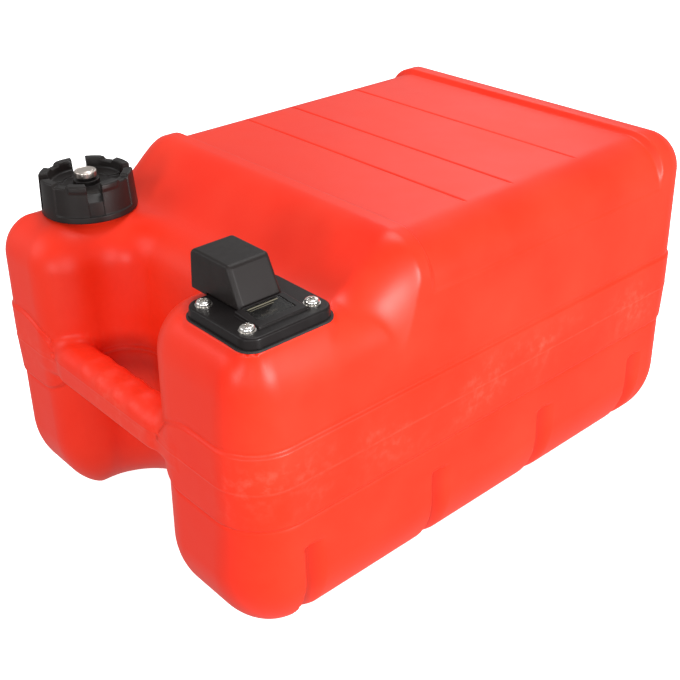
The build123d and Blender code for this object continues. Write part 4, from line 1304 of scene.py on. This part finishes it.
# ---- CAD nodes that keep their shape ----
@dataclass
class CarriedNodes:
    """Finishes of the CAD nodes that are shown as they are, each with its nodes."""

    finishes: tuple[tuple[str, Grained, tuple[str, ...]], ...] = (
        # Moulded in a spark-eroded tool, which leaves a fine grain.
        ("moulded_black", Grained(), ("gauge_dial",)),
        # Pressed in a matt tool, which dulls it.
        ("nitrile_rubber", Grained("#1b1a1a", 0.7, 0.4),
         ("cap_liner", "vent_seal", "base_gasket", "port_ring")),
        # Drawn or turned and left bright, with hardly any grain.
        ("stainless_steel", Grained("#d8d4cf", 0.25, 0.3, 0.05, 1.0, 1.5),
         ("screw_washers", "locating_pin", "check_ball", "check_spring", "gauge_ribbon",
          "gauge_frame")),
        # Turned on a lathe, which leaves it smooth and bright.
        ("turned_brass", Grained("#c9a85c", 0.28, 0.3, 0.05, 1.0, 1.5),
         ("screw_inserts", "fuel_port", "valve_plug")),
        # Moulded without pigment, so it is milky.
        ("natural_acetal", Grained("#e3dfd3", 0.4),
         ("vent_stop", "float_follower", "pickup_tube", "pickup_filter", "gauge_pointer")),
        # Cut from a block, and its open cells make it rough and dull.
        ("closed_cell_foam", Grained("#4a4340", 0.85, 1.4, 0.6), ("gauge_float",)),
    )

    def dress(self) -> None:
        """Give every carried node its material."""
        for name, finish, nodes in self.finishes:
            material = finish.make(name)
            for node in nodes:
                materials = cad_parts[node].data.materials
                materials.clear()
                materials.append(material)
        log.info("carried nodes dressed")


# ---- Studio ----
@dataclass(frozen=True)
class SoftLight:
    """A square soft light: its turn from the front towards the right side, and its rise.

    Turn and rise are in degrees, spin in radians, size and distance in metres, power in watts.
    """

    name: str
    turn: float
    rise: float
    size: float
    power: float
    spin: float = 0.0
    distance: float = 1.9


@dataclass
class Studio:
    """Camera, floor and soft light.

    The camera's angles are in radians, its focal length and centre in pixels of the square
    render. The lights' aim and half the floor's width are in metres.
    """

    place: tuple[float, float, float] = (562.6, -510.3, 541.5)
    yaw: float = 0.83903
    pitch: float = 0.53553
    roll: float = -0.01213
    focal_px: float = 1062.6
    centre_px: Pair = (350.3, 357.5)
    frame_px: float = 680.0
    sensor: float = 36.0
    aim: tuple[float, float, float] = (0.0, 0.0, 0.12)
    air: float = 0.46
    paper_glow: float = 1.0
    floor_half: float = 6.0
    lights: tuple[SoftLight, ...] = (
        SoftLight("right", 94.0, 7.0, 0.5, 42.0),
        SoftLight("front", 18.0, 7.0, 0.4, 7.5),
        SoftLight("front_left", -32.0, 28.0, 0.9, 7.0),
        SoftLight("front_right", 50.0, 14.0, 0.9, 11.5),
        SoftLight("rear_left", 216.0, 35.0, 0.7, 2.6, 0.5),
        SoftLight("overhead", 200.0, 78.0, 0.9, 19.0),
    )

    def camera(self) -> None:
        """Place the camera at the viewing angle."""
        data = bpy.data.cameras.new("camera")
        data.sensor_width = self.sensor
        data.lens = self.focal_px / self.frame_px * self.sensor
        data.shift_x = (self.frame_px / 2 - self.centre_px[0]) / self.frame_px
        data.shift_y = (self.centre_px[1] - self.frame_px / 2) / self.frame_px
        data.clip_start, data.clip_end = 0.05, 20.0
        camera = bpy.data.objects.new("camera", data)
        bpy.context.scene.collection.objects.link(camera)
        yaw, pitch = self.yaw, self.pitch
        level = Vector((-math.sin(yaw), math.cos(yaw), 0.0))
        ahead = math.cos(pitch) * level - math.sin(pitch) * Vector((0.0, 0.0, 1.0))
        right = Vector((math.cos(yaw), math.sin(yaw), 0.0))
        up = right.cross(ahead)
        turned_right = math.cos(self.roll) * right + math.sin(self.roll) * up
        turned_up = math.cos(self.roll) * up - math.sin(self.roll) * right
        turn = Matrix((turned_right, turned_up, -ahead)).transposed()
        camera.matrix_world = Matrix.Translation(Vector(self.place) * MM) @ turn.to_4x4()
        bpy.context.scene.camera = camera

    def floor(self) -> None:
        """Lay a plain floor of white paper, which glows so that it stays even."""
        mesh = bpy.data.meshes.new("floor")
        half = self.floor_half
        mesh.from_pydata(
            [(-half, -half, 0), (half, -half, 0), (half, half, 0), (-half, half, 0)], [],
            [(0, 1, 2, 3)],
        )
        piece = bpy.data.objects.new("floor", mesh)
        bpy.context.scene.collection.objects.link(piece)
        mesh.materials.append(Shader("floor_paper").close({
            "Base Color": linear("#f4f4f4"), "Roughness": 0.9,
            "Emission Color": linear("#ffffff"), "Emission Strength": self.paper_glow,
        }))
        piece.visible_diffuse = False
        piece.visible_glossy = False

    def light(self, lamp: SoftLight) -> None:
        """Hang a square soft light that points at the tank.

        Args:
            lamp: Its name, direction, size and power.
        """
        data = bpy.data.lights.new(lamp.name, "AREA")
        data.shape = "SQUARE"
        data.size = lamp.size
        data.energy = lamp.power
        hung = bpy.data.objects.new(lamp.name, data)
        bpy.context.scene.collection.objects.link(hung)
        turn, rise = math.radians(lamp.turn), math.radians(lamp.rise)
        away = Vector((
            math.cos(rise) * math.sin(turn), -math.cos(rise) * math.cos(turn), math.sin(rise)
        ))
        hung.location = Vector(self.aim) + lamp.distance * away
        facing = away.to_track_quat("Z", "Y").to_matrix()
        hung.rotation_euler = (facing @ Matrix.Rotation(lamp.spin, 3, "Z")).to_euler()

    def build(self) -> None:
        """Set up the whole studio."""
        self.camera()
        self.floor()
        for lamp in self.lights:
            self.light(lamp)
        world = bpy.data.worlds.new("studio_air")
        world.use_nodes = True
        air = world.node_tree.nodes["Background"]
        air.inputs["Color"].default_value = (1.0, 1.0, 1.0, 1.0)
        air.inputs["Strength"].default_value = self.air
        bpy.context.scene.world = world
        bpy.context.scene.view_settings.view_transform = "Standard"
        log.info("studio set")


def main() -> None:
    """Build every piece in order."""
    logging.basicConfig(level=logging.INFO, format="%(name)s %(message)s")
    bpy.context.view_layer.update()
    Studio().build()
    CarriedNodes().dress()
    TankMoulding().build()
    ScrewCap().build()
    VentScrew().build()
    OutletPlate().build()
    GaugeWindow().build()
    DustCap().build()
    PlateScrews().build()


if __name__ == "__main__":
    main()
